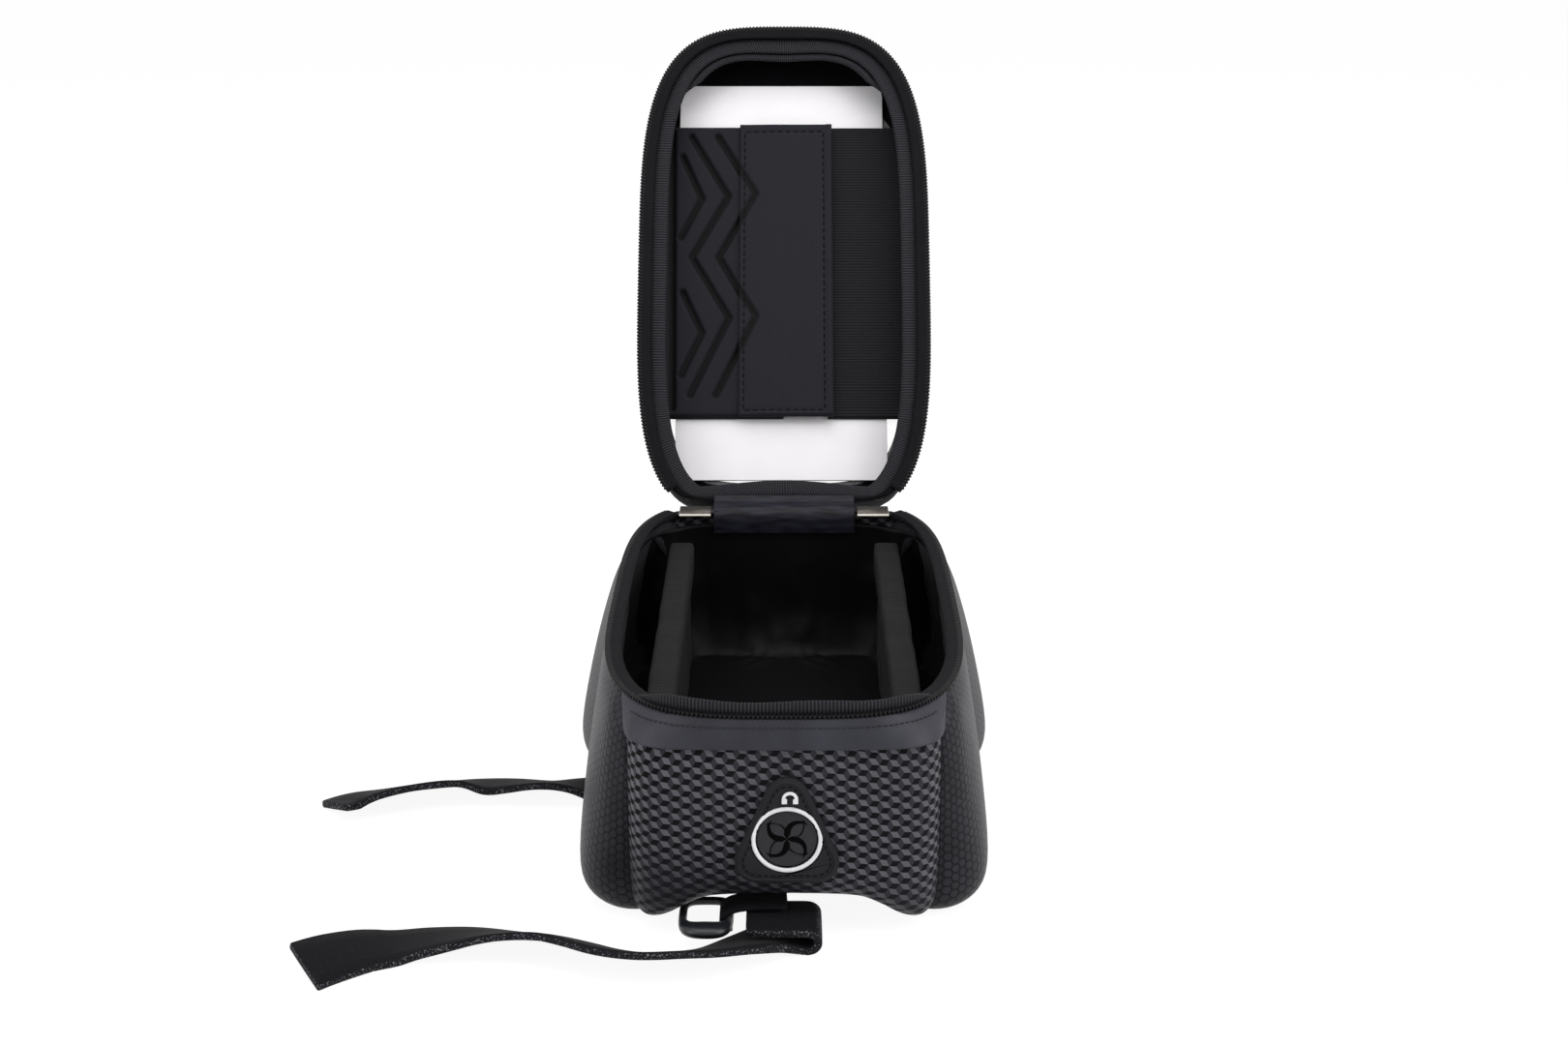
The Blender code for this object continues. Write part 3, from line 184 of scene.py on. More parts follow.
class Finish:
    """Wires the nodes of one procedural material."""

    def __init__(self, name, colour, roughness, metallic=0.0, **sockets):
        self.material = bpy.data.materials.new(name)
        self.material.use_nodes = True
        self.tree = self.material.node_tree
        self.shader = self.tree.nodes["Principled BSDF"]
        self.colour = (*colour, 1.0)
        self.shader.inputs["Base Color"].default_value = self.colour
        self.shader.inputs["Roughness"].default_value = roughness
        self.shader.inputs["Metallic"].default_value = metallic
        for socket, value in sockets.items():
            self.shader.inputs[socket.replace("_", " ")].default_value = value

    def node(self, kind, **settings):
        node = self.tree.nodes.new("ShaderNode" + kind)
        for key, value in settings.items():
            setattr(node, key, value)
        return node

    def feed(self, socket, value):
        if isinstance(value, bpy.types.NodeSocket):
            self.tree.links.new(value, socket)
        else:
            socket.default_value = value

    def place(self, source="object", scale=(1.0, 1.0, 1.0)):
        """Coordinates in millimetres: the object's own, or its pattern map."""
        mapping = self.node("Mapping")
        if source == "object":
            self.feed(mapping.inputs["Vector"], self.node("TexCoord").outputs["Object"])
            scale = [1000.0 * value for value in scale]
        else:
            self.feed(mapping.inputs["Vector"], self.node("UVMap", uv_map="pattern").outputs["UV"])
        mapping.inputs["Scale"].default_value = scale
        return mapping.outputs["Vector"]

    def noise(self, place, scale, detail=2.0, roughness=0.5):
        node = self.node("TexNoise")
        self.feed(node.inputs["Vector"], place)
        node.inputs["Scale"].default_value = scale
        node.inputs["Detail"].default_value = detail
        node.inputs["Roughness"].default_value = roughness
        return node.outputs["Fac"]

    def cells(self, place, scale):
        node = self.node("TexVoronoi")
        self.feed(node.inputs["Vector"], place)
        node.inputs["Scale"].default_value = scale
        return node.outputs["Distance"]

    def math(self, operation, first, second=0.0):
        node = self.node("Math", operation=operation)
        for socket, value in zip(node.inputs, (first, second)):
            self.feed(socket, value)
        return node.outputs["Value"]

    def vector(self, operation, first, second=(0.0, 0.0, 0.0), third=(0.0, 0.0, 0.0)):
        node = self.node("VectorMath", operation=operation)
        for socket, value in zip(node.inputs, (first, second, third)):
            self.feed(socket, value)
        return node.outputs["Value" if operation == "LENGTH" else "Vector"]

    def split(self, place):
        node = self.node("SeparateXYZ")
        self.feed(node.inputs["Vector"], place)
        return node.outputs["X"], node.outputs["Y"], node.outputs["Z"]

    def ramp(self, factor, stops, interpolation="LINEAR"):
        """Colours or greys along a factor; stops are (place, grey or colour)."""
        node = self.node("ValToRGB")
        node.color_ramp.interpolation = interpolation
        elements = node.color_ramp.elements
        while len(elements) < len(stops):
            elements.new(0.5)
        for element, (place, value) in zip(elements, stops):
            element.position = place
            element.color = (*value, 1.0) if hasattr(value, "__len__") else (value, value, value, 1.0)
        self.feed(node.inputs["Fac"], factor)
        return node.outputs["Color"]

    def mix(self, factor, first, second):
        node = self.node("Mix", data_type="RGBA")
        self.feed(node.inputs["Factor"], factor)
        for socket, value in (("A", first), ("B", second)):
            opaque = (*value, 1.0) if isinstance(value, tuple) and len(value) == 3 else value
            self.feed(node.inputs[socket], opaque)
        return node.outputs["Result"]

    def shade(self, low, high, factor):
        """Colour between two multiples of the base colour."""
        dark = tuple(low * c for c in self.colour[:3])
        light = tuple(high * c for c in self.colour[:3])
        return self.ramp(factor, [(0.25, dark), (0.75, light)])

    def sine(self, axis, pitch):
        return self.math("SINE", self.math("MULTIPLY", axis, 2 * math.pi / pitch))

    def from_zero(self, wave):
        """A wave of -1 to 1, brought to 0 to 1."""
        return self.math("ADD", self.math("MULTIPLY", wave, 0.5), 0.5)

    def roughen(self, factor, low, high):
        """Roughness between two values along a factor."""
        self.set("Roughness", self.ramp(factor, [(0.3, low), (0.7, high)]))

    def bump(self, height, strength, distance):
        node = self.node("Bump")
        node.inputs["Strength"].default_value = strength
        node.inputs["Distance"].default_value = distance * MM
        self.feed(node.inputs["Height"], height)
        if self.shader.inputs["Normal"].is_linked:
            self.feed(node.inputs["Normal"], self.shader.inputs["Normal"].links[0].from_socket)
        self.feed(self.shader.inputs["Normal"], node.outputs["Normal"])

    def set(self, socket, value):
        self.feed(self.shader.inputs[socket], value)


def hexagon_cell(finish, place, side):
    """Offset from the centre of the flat-topped hexagon that a place lies in."""
    wide, tall = 3.0 * side, math.sqrt(3.0) * side
    half = (wide / 2, tall / 2, 1.0)
    low = tuple(-value for value in half)
    first = finish.vector("WRAP", place, half, low)
    second = finish.vector("WRAP", finish.vector("ADD", place, (wide / 2, tall / 2, 0.0)), half, low)
    nearer = finish.math("LESS_THAN", finish.vector("LENGTH", first), finish.vector("LENGTH", second))
    node = finish.node("Mix", data_type="VECTOR")
    finish.feed(node.inputs[0], nearer)
    finish.feed(node.inputs[4], second)
    finish.feed(node.inputs[5], first)
    return node.outputs[1]


def cube_skin():
    """Moulded skin with a pattern of stacked cubes: each hexagon holds three rhombi."""
    side = 2.0
    finish = Finish("cube_skin", (0.018, 0.018, 0.022), 0.48, Specular_IOR_Level=0.13)
    place = finish.place("pattern")
    cell = hexagon_cell(finish, place, side)
    x, y, _ = finish.split(cell)
    turn = finish.math("FRACT", finish.math("DIVIDE", finish.math("ARCTAN2", y, x), 2 * math.pi))
    warm = finish.noise(place, 0.05, 2.0)
    face = finish.ramp(turn, [(0.0, (0.118, 0.116, 0.132)), (1 / 3, (0.026, 0.026, 0.034)),
                              (2 / 3, (0.0006, 0.0006, 0.0010))], "CONSTANT")
    grain = finish.noise(place, 3.0, 3.0)
    patches = finish.ramp(finish.noise(place, 0.035, 2.0), [(0.35, 0.04), (0.65, 0.26)])
    shade = finish.mix(patches, face, finish.shade(0.5, 1.5, grain))
    _, down, _ = finish.split(place)
    fade = finish.ramp(finish.math("DIVIDE", down, -62.0), [(0.66, 0.0), (0.92, 0.75)])
    finish.set("Base Color", finish.mix(fade, shade, (0.020, 0.020, 0.025)))
    rough = finish.ramp(turn, [(0.0, 0.36), (1 / 3, 0.42), (2 / 3, 0.80)], "CONSTANT")
    finish.set("Roughness", finish.math("ADD", rough, finish.math("MULTIPLY", warm, 0.12)))
    tilt = finish.math("SINE", finish.math("MULTIPLY", turn, 6 * math.pi))
    rim = finish.math("MULTIPLY", finish.vector("LENGTH", cell), 0.30)
    height = finish.math("MULTIPLY", finish.math("ADD", tilt, 1.0), rim)
    finish.bump(height, 0.55, 0.12)
    finish.bump(grain, 0.12, 0.05)
    return finish.material


def hex_skin():
    """Moulded skin with low domed hexagons."""
    side = 1.5
    finish = Finish("hex_skin", (0.020, 0.020, 0.026), 0.48, Specular_IOR_Level=0.14)
    place = finish.place("pattern")
    cell = hexagon_cell(finish, place, side)
    x, y, _ = finish.split(cell)
    across = finish.math("ABSOLUTE", x)
    up = finish.math("ABSOLUTE", y)
    slant = finish.math("ADD", finish.math("MULTIPLY", across, math.sqrt(3.0) / 2),
                        finish.math("MULTIPLY", up, 0.5))
    edge = finish.math("DIVIDE", finish.math("MAXIMUM", up, slant), side * math.sqrt(3.0) / 2)
    dome = finish.math("SUBTRACT", 1.0, finish.math("POWER", edge, 4.0))
    grain = finish.noise(place, 4.0, 3.0)
    skin = finish.shade(0.75, 1.35, finish.noise(place, 0.12, 3.0))
    # Painted shade: the grooves between the domes are darkened in the base colour.
    line = finish.ramp(edge, [(0.66, 0.0), (0.90, 0.95)])
    finish.set("Base Color", finish.mix(line, skin, (0.0012, 0.0012, 0.0018)))
    finish.roughen(grain, 0.36, 0.52)
    finish.bump(dome, 0.75, 0.16)
    finish.bump(grain, 0.10, 0.04)
    return finish.material


def grained_skin(name, colour, roughness, bump, specular):
    """Fine leather-like grain on a smooth moulded skin."""
    finish = Finish(name, colour, roughness, Specular_IOR_Level=specular)
    place = finish.place()
    grain = finish.cells(place, 1.9)
    fine = finish.noise(place, 3.2, 4.0, 0.6)
    finish.set("Base Color", finish.shade(0.75, 1.3, finish.noise(place, 0.08, 3.0)))
    finish.roughen(fine, roughness - 0.06, roughness + 0.08)
    finish.bump(grain, bump, 0.10)
    finish.bump(fine, bump * 0.6, 0.06)
    return finish.material


def woven(name, colour, roughness, pitch, bump, source="pattern", sheen=0.0):
    """Plain weave along and across a tape or a cloth."""
    finish = Finish(name, colour, roughness, Sheen_Weight=sheen, Specular_IOR_Level=0.10)
    place = finish.place(source)
    x, y, z = finish.split(place)
    if source == "object":
        y = finish.math("ADD", y, z)
    weave = finish.from_zero(finish.math("MULTIPLY", finish.sine(x, pitch), finish.sine(y, pitch)))
    fuzz = finish.noise(place, 2.4, 4.0, 0.65)
    worn = finish.noise(place, 0.10, 2.0)
    shade = finish.mix(0.5, finish.shade(0.55, 1.5, weave), finish.shade(0.6, 1.5, worn))
    finish.set("Base Color", finish.mix(0.3, shade, finish.shade(0.4, 1.8, fuzz)))
    finish.roughen(fuzz, roughness - 0.08, min(roughness + 0.08, 1.0))
    finish.bump(weave, bump, 0.12)
    finish.bump(fuzz, bump * 0.5, 0.08)
    return finish.material


def ribbed(name, colour, roughness, pitch, bump, along=0, source="pattern", light=2.0):
    """Ribs across a tape, with painted highlights on the rib tops and painted shade between them."""
    finish = Finish(name, colour, roughness, Sheen_Weight=0.02, Specular_IOR_Level=0.14)
    place = finish.place(source)
    axis = finish.split(place)[along]
    fuzz = finish.noise(place, 2.0, 4.0, 0.6)
    wander = finish.math("MULTIPLY", fuzz, 0.25)
    rib = finish.from_zero(finish.sine(finish.math("ADD", axis, wander), pitch))
    # Painted highlight and shade: each rib top is lit up to light times the base colour, and each hollow is
    # darkened.
    finish.set("Base Color", finish.mix(finish.math("MULTIPLY", fuzz, 0.7), finish.shade(0.15, light, rib),
                                        finish.colour))
    finish.roughen(fuzz, roughness - 0.1, min(roughness + 0.05, 1.0))
    finish.bump(rib, bump, 0.25)
    finish.bump(fuzz, bump * 0.4, 0.08)
    return finish.material


def satin():
    finish = Finish("satin", (0.0045, 0.0045, 0.0075), 0.40, Sheen_Weight=0.02, Anisotropic=0.5,
                    Specular_IOR_Level=0.14)
    place = finish.place("object", (0.35, 6.0, 6.0))
    thread = finish.noise(place, 1.4, 3.0)
    # Painted sheen: long streaks of the base colour, from dark to bright, stand in for the satin's shine.
    painted_sheen_streak = finish.noise(finish.place("object", (0.5, 2.0, 2.0)), 0.30, 3.0)
    finish.set("Base Color", finish.shade(0.4, 3.4, painted_sheen_streak))
    finish.roughen(thread, 0.30, 0.50)
    finish.bump(thread, 0.35, 0.08)
    return finish.material


def plain(name, colour, roughness, metallic=0.0, grain=0.2, scale=2.5, spread=0.15, **sockets):
    """Smooth plastic, metal, rubber or card with a little unevenness."""
    finish = Finish(name, colour, roughness, metallic, **sockets)
    place = finish.place()
    fine = finish.noise(place, scale, 4.0, 0.6)
    finish.set("Base Color", finish.shade(1.0 - spread, 1.0 + spread * 0.6, finish.noise(place, 0.09, 3.0)))
    finish.roughen(fine, max(roughness - 0.07, 0.03), min(roughness + 0.07, 1.0))
    finish.bump(fine, grain, 0.05)
    return finish.material


def grooved_foam(name, colour):
    """Fine knitted cover of a padded strap, with painted shade at the bottom of its pressed grooves."""
    finish = Finish(name, colour, 0.75, Specular_IOR_Level=0.12, Sheen_Weight=0.02)
    place = finish.place("pattern")
    knit = finish.noise(place, 2.6, 3.0, 0.6)
    row = finish.from_zero(finish.sine(finish.split(place)[0], 0.8))
    fleck = finish.mix(0.35, finish.shade(0.5, 1.6, knit), finish.shade(0.8, 1.25, row))
    # Painted shade: the deeper a point lies in a pressed groove, the nearer to black its colour is.
    sunk = finish.node("Attribute", attribute_name="sunk").outputs["Fac"]
    finish.set("Base Color", finish.mix(finish.math("MULTIPLY", sunk, 0.96), fleck, (0.001, 0.001, 0.0013)))
    finish.roughen(knit, 0.66, 0.84)
    finish.bump(knit, 0.25, 0.08)
    finish.bump(row, 0.12, 0.05)
    return finish.material


def clear_film():
    finish = Finish("clear_film", (0.93, 0.94, 0.95), 0.08, Alpha=0.10, Specular_IOR_Level=0.6)
    place = finish.place("object")
    haze = finish.noise(place, 0.05, 2.0)
    finish.roughen(haze, 0.05, 0.12)
    finish.bump(haze, 0.12, 0.3)
    return finish.material


def hook_tape(name, colour, glint_colour, share):
    """Webbing with a field of small hooks: fine black grain with painted glints on the hooks."""
    finish = Finish(name, colour, 0.75, Sheen_Weight=0.02, Specular_IOR_Level=0.08)
    place = finish.place()
    hooks = finish.cells(place, 1.3)
    fuzz = finish.noise(place, 3.0, 4.0, 0.65)
    painted_glints = finish.ramp(finish.noise(place, 2.2, 1.0), [(share, 0.0), (share + 0.06, 1.0)])
    base = finish.shade(0.6, 1.9, fuzz)
    # Painted highlight: bright specks of the glint colour stand in for light caught on the hooks.
    finish.set("Base Color", finish.mix(finish.math("MULTIPLY", painted_glints, 0.7), base, glint_colour))
    finish.roughen(fuzz, 0.62, 0.85)
    finish.bump(hooks, 0.45, 0.12)
    finish.bump(fuzz, 0.25, 0.08)
    return finish.material


FINISHES = {}


def finish_of(name):
    """The material of that name, made the first time that it is asked for."""
    makers = {
        "cube_skin": cube_skin,
        "hex_skin": hex_skin,
        "smooth_skin": lambda: grained_skin("smooth_skin", (0.027, 0.027, 0.036), 0.44, 0.28, 0.22),
        "lid_skin": lambda: grained_skin("lid_skin", (0.0028, 0.0028, 0.0038), 0.62, 0.12, 0.04),
        "nylon": lambda: woven("nylon", (0.0022, 0.0022, 0.0028), 0.5, 0.5, 0.15, "object"),
        # The last number of each ribbed finish sets how bright its painted rib highlights are.
        "knit": lambda: ribbed("knit", (0.0065, 0.0065, 0.0080), 0.9, 1.2, 0.5, 1, "object", 3.6),
        "felt": lambda: woven("felt", (0.003, 0.003, 0.004), 0.92, 0.7, 0.35, "object", 0.02),
        "grosgrain": lambda: ribbed("grosgrain", (0.009, 0.009, 0.011), 0.75, 1.02, 0.6, light=4.6),
        "divider_satin": lambda: ribbed("divider_satin", (0.0040, 0.0038, 0.0042), 0.85, 1.1, 0.5, light=3.6),
        "zip_tape": lambda: woven("zip_tape", (0.0055, 0.0055, 0.0065), 0.85, 1.1, 0.6),
        "zip_coil": lambda: plain("zip_coil", (0.0045, 0.0045, 0.0055), 0.36, grain=0.1,
                                  Specular_IOR_Level=0.16),
        "satin": satin,
        "rubber": lambda: plain("rubber", (0.014, 0.014, 0.017), 0.58, grain=0.4, scale=3.0,
                                Specular_IOR_Level=0.16),
        "membrane_rubber": lambda: plain("membrane_rubber", (0.030, 0.028, 0.033), 0.45, grain=0.2, scale=1.6,
                                         Specular_IOR_Level=0.16),
        "gloss_rubber": lambda: plain("gloss_rubber", (0.0008, 0.0008, 0.001), 0.45, grain=0.08, scale=0.8,
                                      Specular_IOR_Level=0.03),
        "white_rubber": lambda: plain("white_rubber", (0.86, 0.85, 0.87), 0.45, grain=0.1),
        "slider_metal": lambda: plain("slider_metal", (0.40, 0.37, 0.34), 0.34, 1.0, grain=0.10, scale=1.2),
        "clear_film": clear_film,
        "card": lambda: plain("card", (0.83, 0.81, 0.83), 0.6, grain=0.08, scale=1.0, spread=0.03),
        "foam_fabric": lambda: grooved_foam("foam_fabric", (0.0095, 0.0095, 0.0130)),
        "flap_fabric": lambda: grooved_foam("flap_fabric", (0.0110, 0.0110, 0.0150)),
        "elastic": lambda: ribbed("elastic", (0.0042, 0.0042, 0.0055), 0.8, 1.1, 0.5, 1, "pattern", 3.6),
        # The third value of each hook tape is the colour of its painted glints.
        "webbing": lambda: hook_tape("webbing", (0.004, 0.004, 0.005), (0.03, 0.03, 0.035), 0.68),
        "hook_edge": lambda: hook_tape("hook_edge", (0.008, 0.008, 0.010), (0.22, 0.22, 0.24), 0.60),
        "ring_plastic": lambda: plain("ring_plastic", (0.010, 0.011, 0.014), 0.32, grain=0.08,
                                      Specular_IOR_Level=0.4),
        "thread": lambda: plain("thread", (0.020, 0.020, 0.024), 0.7, grain=0.4, scale=4.0,
                                Specular_IOR_Level=0.2),
        "sunk_thread": lambda: plain("sunk_thread", (0.002, 0.002, 0.0025), 0.8, grain=0.4, scale=4.0,
                                     Specular_IOR_Level=0.1),
    }
    if name not in FINISHES:
        FINISHES[name] = makers[name]()
    return FINISHES[name]


def only(item):
    """Select one object alone and make it the active one."""
    if bpy.context.object and bpy.context.object.mode != "OBJECT":
        bpy.ops.object.mode_set(mode="OBJECT")
    bpy.ops.object.select_all(action="DESELECT")
    item.select_set(True)
    bpy.context.view_layer.objects.active = item


def set_pattern(mesh, uvs):
    """Pattern map of a mesh, from one place in millimetres for each point."""
    layer = mesh.uv_layers.get("pattern") or mesh.uv_layers.new(name="pattern")
    loops = np.zeros(len(mesh.loops), np.int32)
    mesh.loops.foreach_get("vertex_index", loops)
    layer.data.foreach_set("uv", np.asarray(uvs, np.float32)[loops].ravel())


def add_item(name, verts, faces, finish, uvs=None):
    """New smooth object from points and faces, with an optional pattern map."""
    mesh = bpy.data.meshes.new(name)
    mesh.from_pydata([tuple(v) for v in verts], [], faces)
    if uvs is not None:
        set_pattern(mesh, uvs)
    mesh.shade_smooth()
    mesh.materials.append(finish_of(finish))
    item = bpy.data.objects.new(name, mesh)
    bpy.context.scene.collection.objects.link(item)
    return item


def face_out(item):
    """Turn all faces of a closed mesh outwards."""
    bm = bmesh.new()
    bm.from_mesh(item.data)
    bmesh.ops.remove_doubles(bm, verts=bm.verts, dist=0.000001)
    bmesh.ops.recalc_face_normals(bm, faces=bm.faces)
    bm.to_mesh(item.data)
    bm.free()
    item.data.update()


def apply_modifier(item, kind, **settings):
    only(item)
    modifier = item.modifiers.new(kind.lower(), kind)
    for key, value in settings.items():
        setattr(modifier, key, value)
    bpy.ops.object.modifier_apply(modifier=modifier.name)


def subdivide(item, levels):
    apply_modifier(item, "SUBSURF", levels=levels, render_levels=levels)


def copy_node(node, name, finish):
    """Copy of a frame node, its loose triangles merged and paired into quads."""
    item = bpy.data.objects.new(name, NODES[node].data.copy())
    item.data.materials.clear()
    item.data.materials.append(finish_of(finish))
    bpy.context.scene.collection.objects.link(item)
    item.hide_render = False
    item.hide_viewport = False
    only(item)
    bpy.ops.mesh.customdata_custom_splitnormals_clear()
    bpy.ops.object.mode_set(mode="EDIT")
    bpy.ops.mesh.select_all(action="SELECT")
    bpy.ops.mesh.remove_doubles(threshold=0.01 * MM)
    bpy.ops.mesh.tris_convert_to_quads(face_threshold=math.radians(70), shape_threshold=math.radians(70))
    bpy.ops.object.mode_set(mode="OBJECT")
    return item


def crease(item, angle, amount):
    """Keep the edges that turn more than an angle crisp when the mesh is subdivided."""
    bm = bmesh.new()
    bm.from_mesh(item.data)
    layer = bm.edges.layers.float.get("crease_edge") or bm.edges.layers.float.new("crease_edge")
    for edge in bm.edges:
        if len(edge.link_faces) == 2 and edge.calc_face_angle(0.0) > math.radians(angle):
            edge[layer] = amount
    bm.to_mesh(item.data)
    bm.free()


def soften(node, name, finish, amount, levels=2, angle=50):
    """Rounded copy of a frame node that stands for it."""
    item = copy_node(node, name, finish)
    crease(item, angle, amount)
    subdivide(item, levels)
    item.data.shade_smooth()
    return item


# Length of the outline's turn from an end's middle to a side
WALL_QUARTER = RIM_HALF_WIDTH * math.pi / 2


def outline_place(x, y):
    """How far round the body a point lies, 0 at the near middle, growing to the far middle."""
    x = abs(x)
    if y < -SPINE_HALF_LENGTH:
        return RIM_HALF_WIDTH * math.atan2(x, -y - SPINE_HALF_LENGTH)
    if y < SPINE_HALF_LENGTH:
        return WALL_QUARTER + y + SPINE_HALF_LENGTH
    return WALL_QUARTER + 2 * SPINE_HALF_LENGTH + RIM_HALF_WIDTH * math.atan2(y - SPINE_HALF_LENGTH, x)


def outline_lengths(height):
    """Wall length up to each place round the right half of the body, at one height."""
    trees = [BVHTree.FromPolygons([v.co for v in NODES[n].data.vertices],
                                  [p.vertices for p in NODES[n].data.polygons])
             for n in ("near_panel", "right_side_panel", "far_panel")]
    far_out = 4 * RIM_HALF_WIDTH
    steps = 240
    end = 2 * WALL_QUARTER + 2 * SPINE_HALF_LENGTH
    points = []
    for index in range(steps + 1):
        place = end * index / steps
        if place < WALL_QUARTER:
            turn = place / RIM_HALF_WIDTH
            spine, out = Vector((0, -SPINE_HALF_LENGTH, height)), Vector((math.sin(turn), -math.cos(turn), 0))
        elif place < WALL_QUARTER + 2 * SPINE_HALF_LENGTH:
            spine, out = Vector((0, place - WALL_QUARTER - SPINE_HALF_LENGTH, height)), Vector((1, 0, 0))
        else:
            turn = (place - WALL_QUARTER - 2 * SPINE_HALF_LENGTH) / RIM_HALF_WIDTH
            spine, out = Vector((0, SPINE_HALF_LENGTH, height)), Vector((math.cos(turn), math.sin(turn), 0))
        hits = [tree.ray_cast(spine + out * far_out, -out) for tree in trees]
        reach = max([(hit[0] - spine).dot(out) for hit in hits if hit[0]], default=0.0)
        if reach > RIM_HALF_WIDTH * 0.6:
            points.append((place, spine + out * reach))
    places = [p[0] for p in points]
    lengths = np.concatenate([[0.0], np.cumsum([(b[1] - a[1]).length for a, b in zip(points, points[1:])])])
    return np.array(places), lengths


WALL_PLACES, WALL_LENGTHS = outline_lengths(12 * MM)


def lay_pattern(item, from_far=False, droop=0.0):
    """Pattern map of a wall piece: across is the length round the body, up is the height."""
    uvs = []
    for vert in item.data.vertices:
        x, y, z = vert.co
        length = float(np.interp(outline_place(x, y), WALL_PLACES, WALL_LENGTHS))
        if from_far:
            length = float(WALL_LENGTHS[-1]) - length
        across = math.copysign(length, x) / MM
        up = (z - RIM_HEIGHT) / MM
        uvs.append((across, up + across * droop))
    set_pattern(item.data, uvs)


def ripple(item, amount, scale, seed):
    """Move points along their normals by smooth noise."""
    normals = [vert.normal.copy() for vert in item.data.vertices]
    for vert, normal in zip(item.data.vertices, normals):
        push = noise.noise((vert.co + Vector((seed, 0, 0))) / scale)
        vert.co += normal * push * amount


def loft(name, stations, sections, finish, lengths, closed=False):
    """Tube through stations of (place, out, up); each section is a ring of (out, up) offsets."""
    verts, uvs, faces = [], [], []
    for index, ((place, out, up), section) in enumerate(zip(stations, sections)):
        run = 0.0
        for step, (a, b) in enumerate(section):
            if step:
                run += math.dist(section[step - 1], (a, b))
            verts.append(place + out * a + up * b)
            uvs.append((lengths[index] / MM, run / MM))
    ring = len(sections[0])
    count = len(stations)
    for index in range(count if closed else count - 1):
        after = (index + 1) % count
        for step in range(ring):
            beside = (step + 1) % ring
            faces.append((index * ring + step, index * ring + beside,
                          after * ring + beside, after * ring + step))
    if not closed:
        faces.append(tuple(range(ring)))
        faces.append(tuple(range((count - 1) * ring, count * ring)))
    item = add_item(name, verts, faces, finish, uvs=uvs)
    face_out(item)
    return item


def in_metres(section, inset=0.0):
    """Section given in millimetres, moved inwards by a length."""
    return [(a * MM - inset, b * MM) for a, b in section]


def rim_stations(path, height):
    """Stations of a tape that follows the rim at one height."""
    up = Vector((0, 0, 1))
    return [(p + up * height, -inward(p), up) for p in path]


def swing_open(item):
    item.data.transform(OPENING)
    return item


def settle(item, body, slot, *nodes):
    """Hand a finished piece to its body and hide the nodes that it stands for; the slot is not used."""
    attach(item, body)
    if nodes:
        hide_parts(*nodes)
    return item


def scatter(name, template, places, finish):
    """One mesh of many copies of a small template, each with its own matrix."""
    source = np.array([v.co for v in template.data.vertices])
    polygons = [tuple(p.vertices) for p in template.data.polygons]
    verts, faces = [], []
    for matrix in places:
        base = len(verts)
        turned = source @ np.array(matrix.to_3x3()).T + np.array(matrix.translation)
        verts.extend(map(tuple, turned))
        faces.extend(tuple(base + v for v in polygon) for polygon in polygons)
    bpy.data.objects.remove(template)
    return add_item(name, verts, faces, finish)


def small_block(size, bevel):
    """A block with rounded edges, to be copied many times."""
    bpy.ops.object.select_all(action="DESELECT")
    bpy.ops.mesh.primitive_cube_add(size=1.0)
    item = bpy.context.object
    item.scale = size
    bpy.ops.object.transform_apply(location=False, rotation=False, scale=True)
    bpy.ops.object.mode_set(mode="EDIT")
    bpy.ops.mesh.select_all(action="SELECT")
    bpy.ops.mesh.bevel(offset=bevel, segments=2, affect="EDGES")
    bpy.ops.object.mode_set(mode="OBJECT")
    return item


def frame_matrix(place, along, out):
    """Matrix with X along a seam, Y outwards from it and Z completing it."""
    along = along.normalized()
    out = (out - along * out.dot(along)).normalized()
    up = along.cross(out)
    matrix = Matrix((along, out, up)).transposed().to_4x4()
    matrix.translation = place
    return matrix


def stitch_row(name, points, normals, pitch, length, width, lift, finish="thread"):
    """Row of short stitches that lie along a path on a surface."""
    path, _ = even_path(points, pitch)
    source = np.array([tuple(p) for p in points])
    template = small_block((length, width, width), width * 0.42)
    places = []
    for index, place in enumerate(path[:-1]):
        ahead = path[index + 1]
        middle = (place + ahead) / 2
        near = int(np.argmin(((source - np.array(middle)) ** 2).sum(axis=1)))
        normal = normals[near]
        along = ahead - place
        matrix = frame_matrix(middle + normal * lift, along, normal)
        places.append(matrix)
    return scatter(name, template, places, finish)


# Body pieces

def build_shell(shell):
    """Four moulded walls, the base and the smooth band over the near wall."""
    near = soften("near_panel", "near_wall", "cube_skin", shell.seam_sharpness)
    lay_pattern(near, droop=shell.droop)
    settle(near, "body", "cube_skin", "near_panel")
    far = soften("far_panel", "far_wall", "cube_skin", shell.seam_sharpness)
    lay_pattern(far, from_far=True, droop=-shell.droop)
    settle(far, "body", "cube_skin", "far_panel")
    for side in ("left", "right"):
        node = side + "_side_panel"
        wall = soften(node, side + "_wall", "hex_skin", shell.seam_sharpness)
        lay_pattern(wall)
        settle(wall, "body", "hex_skin", node)
    base = copy_node("base_panel", "base_foam", "hex_skin")
    lay_flat_pattern(base)
    settle(base, "body", "hex_skin", "base_panel")
    band = soften("near_rim_band", "rim_band", "smooth_skin", 0.6, levels=3)
    settle(band, "body", "smooth_skin", "near_rim_band")
    build_band_stitches()


def lay_flat_pattern(item):
    """Pattern map seen from below, for the base."""
    set_pattern(item.data, [(vert.co.x / MM, vert.co.y / MM) for vert in item.data.vertices])


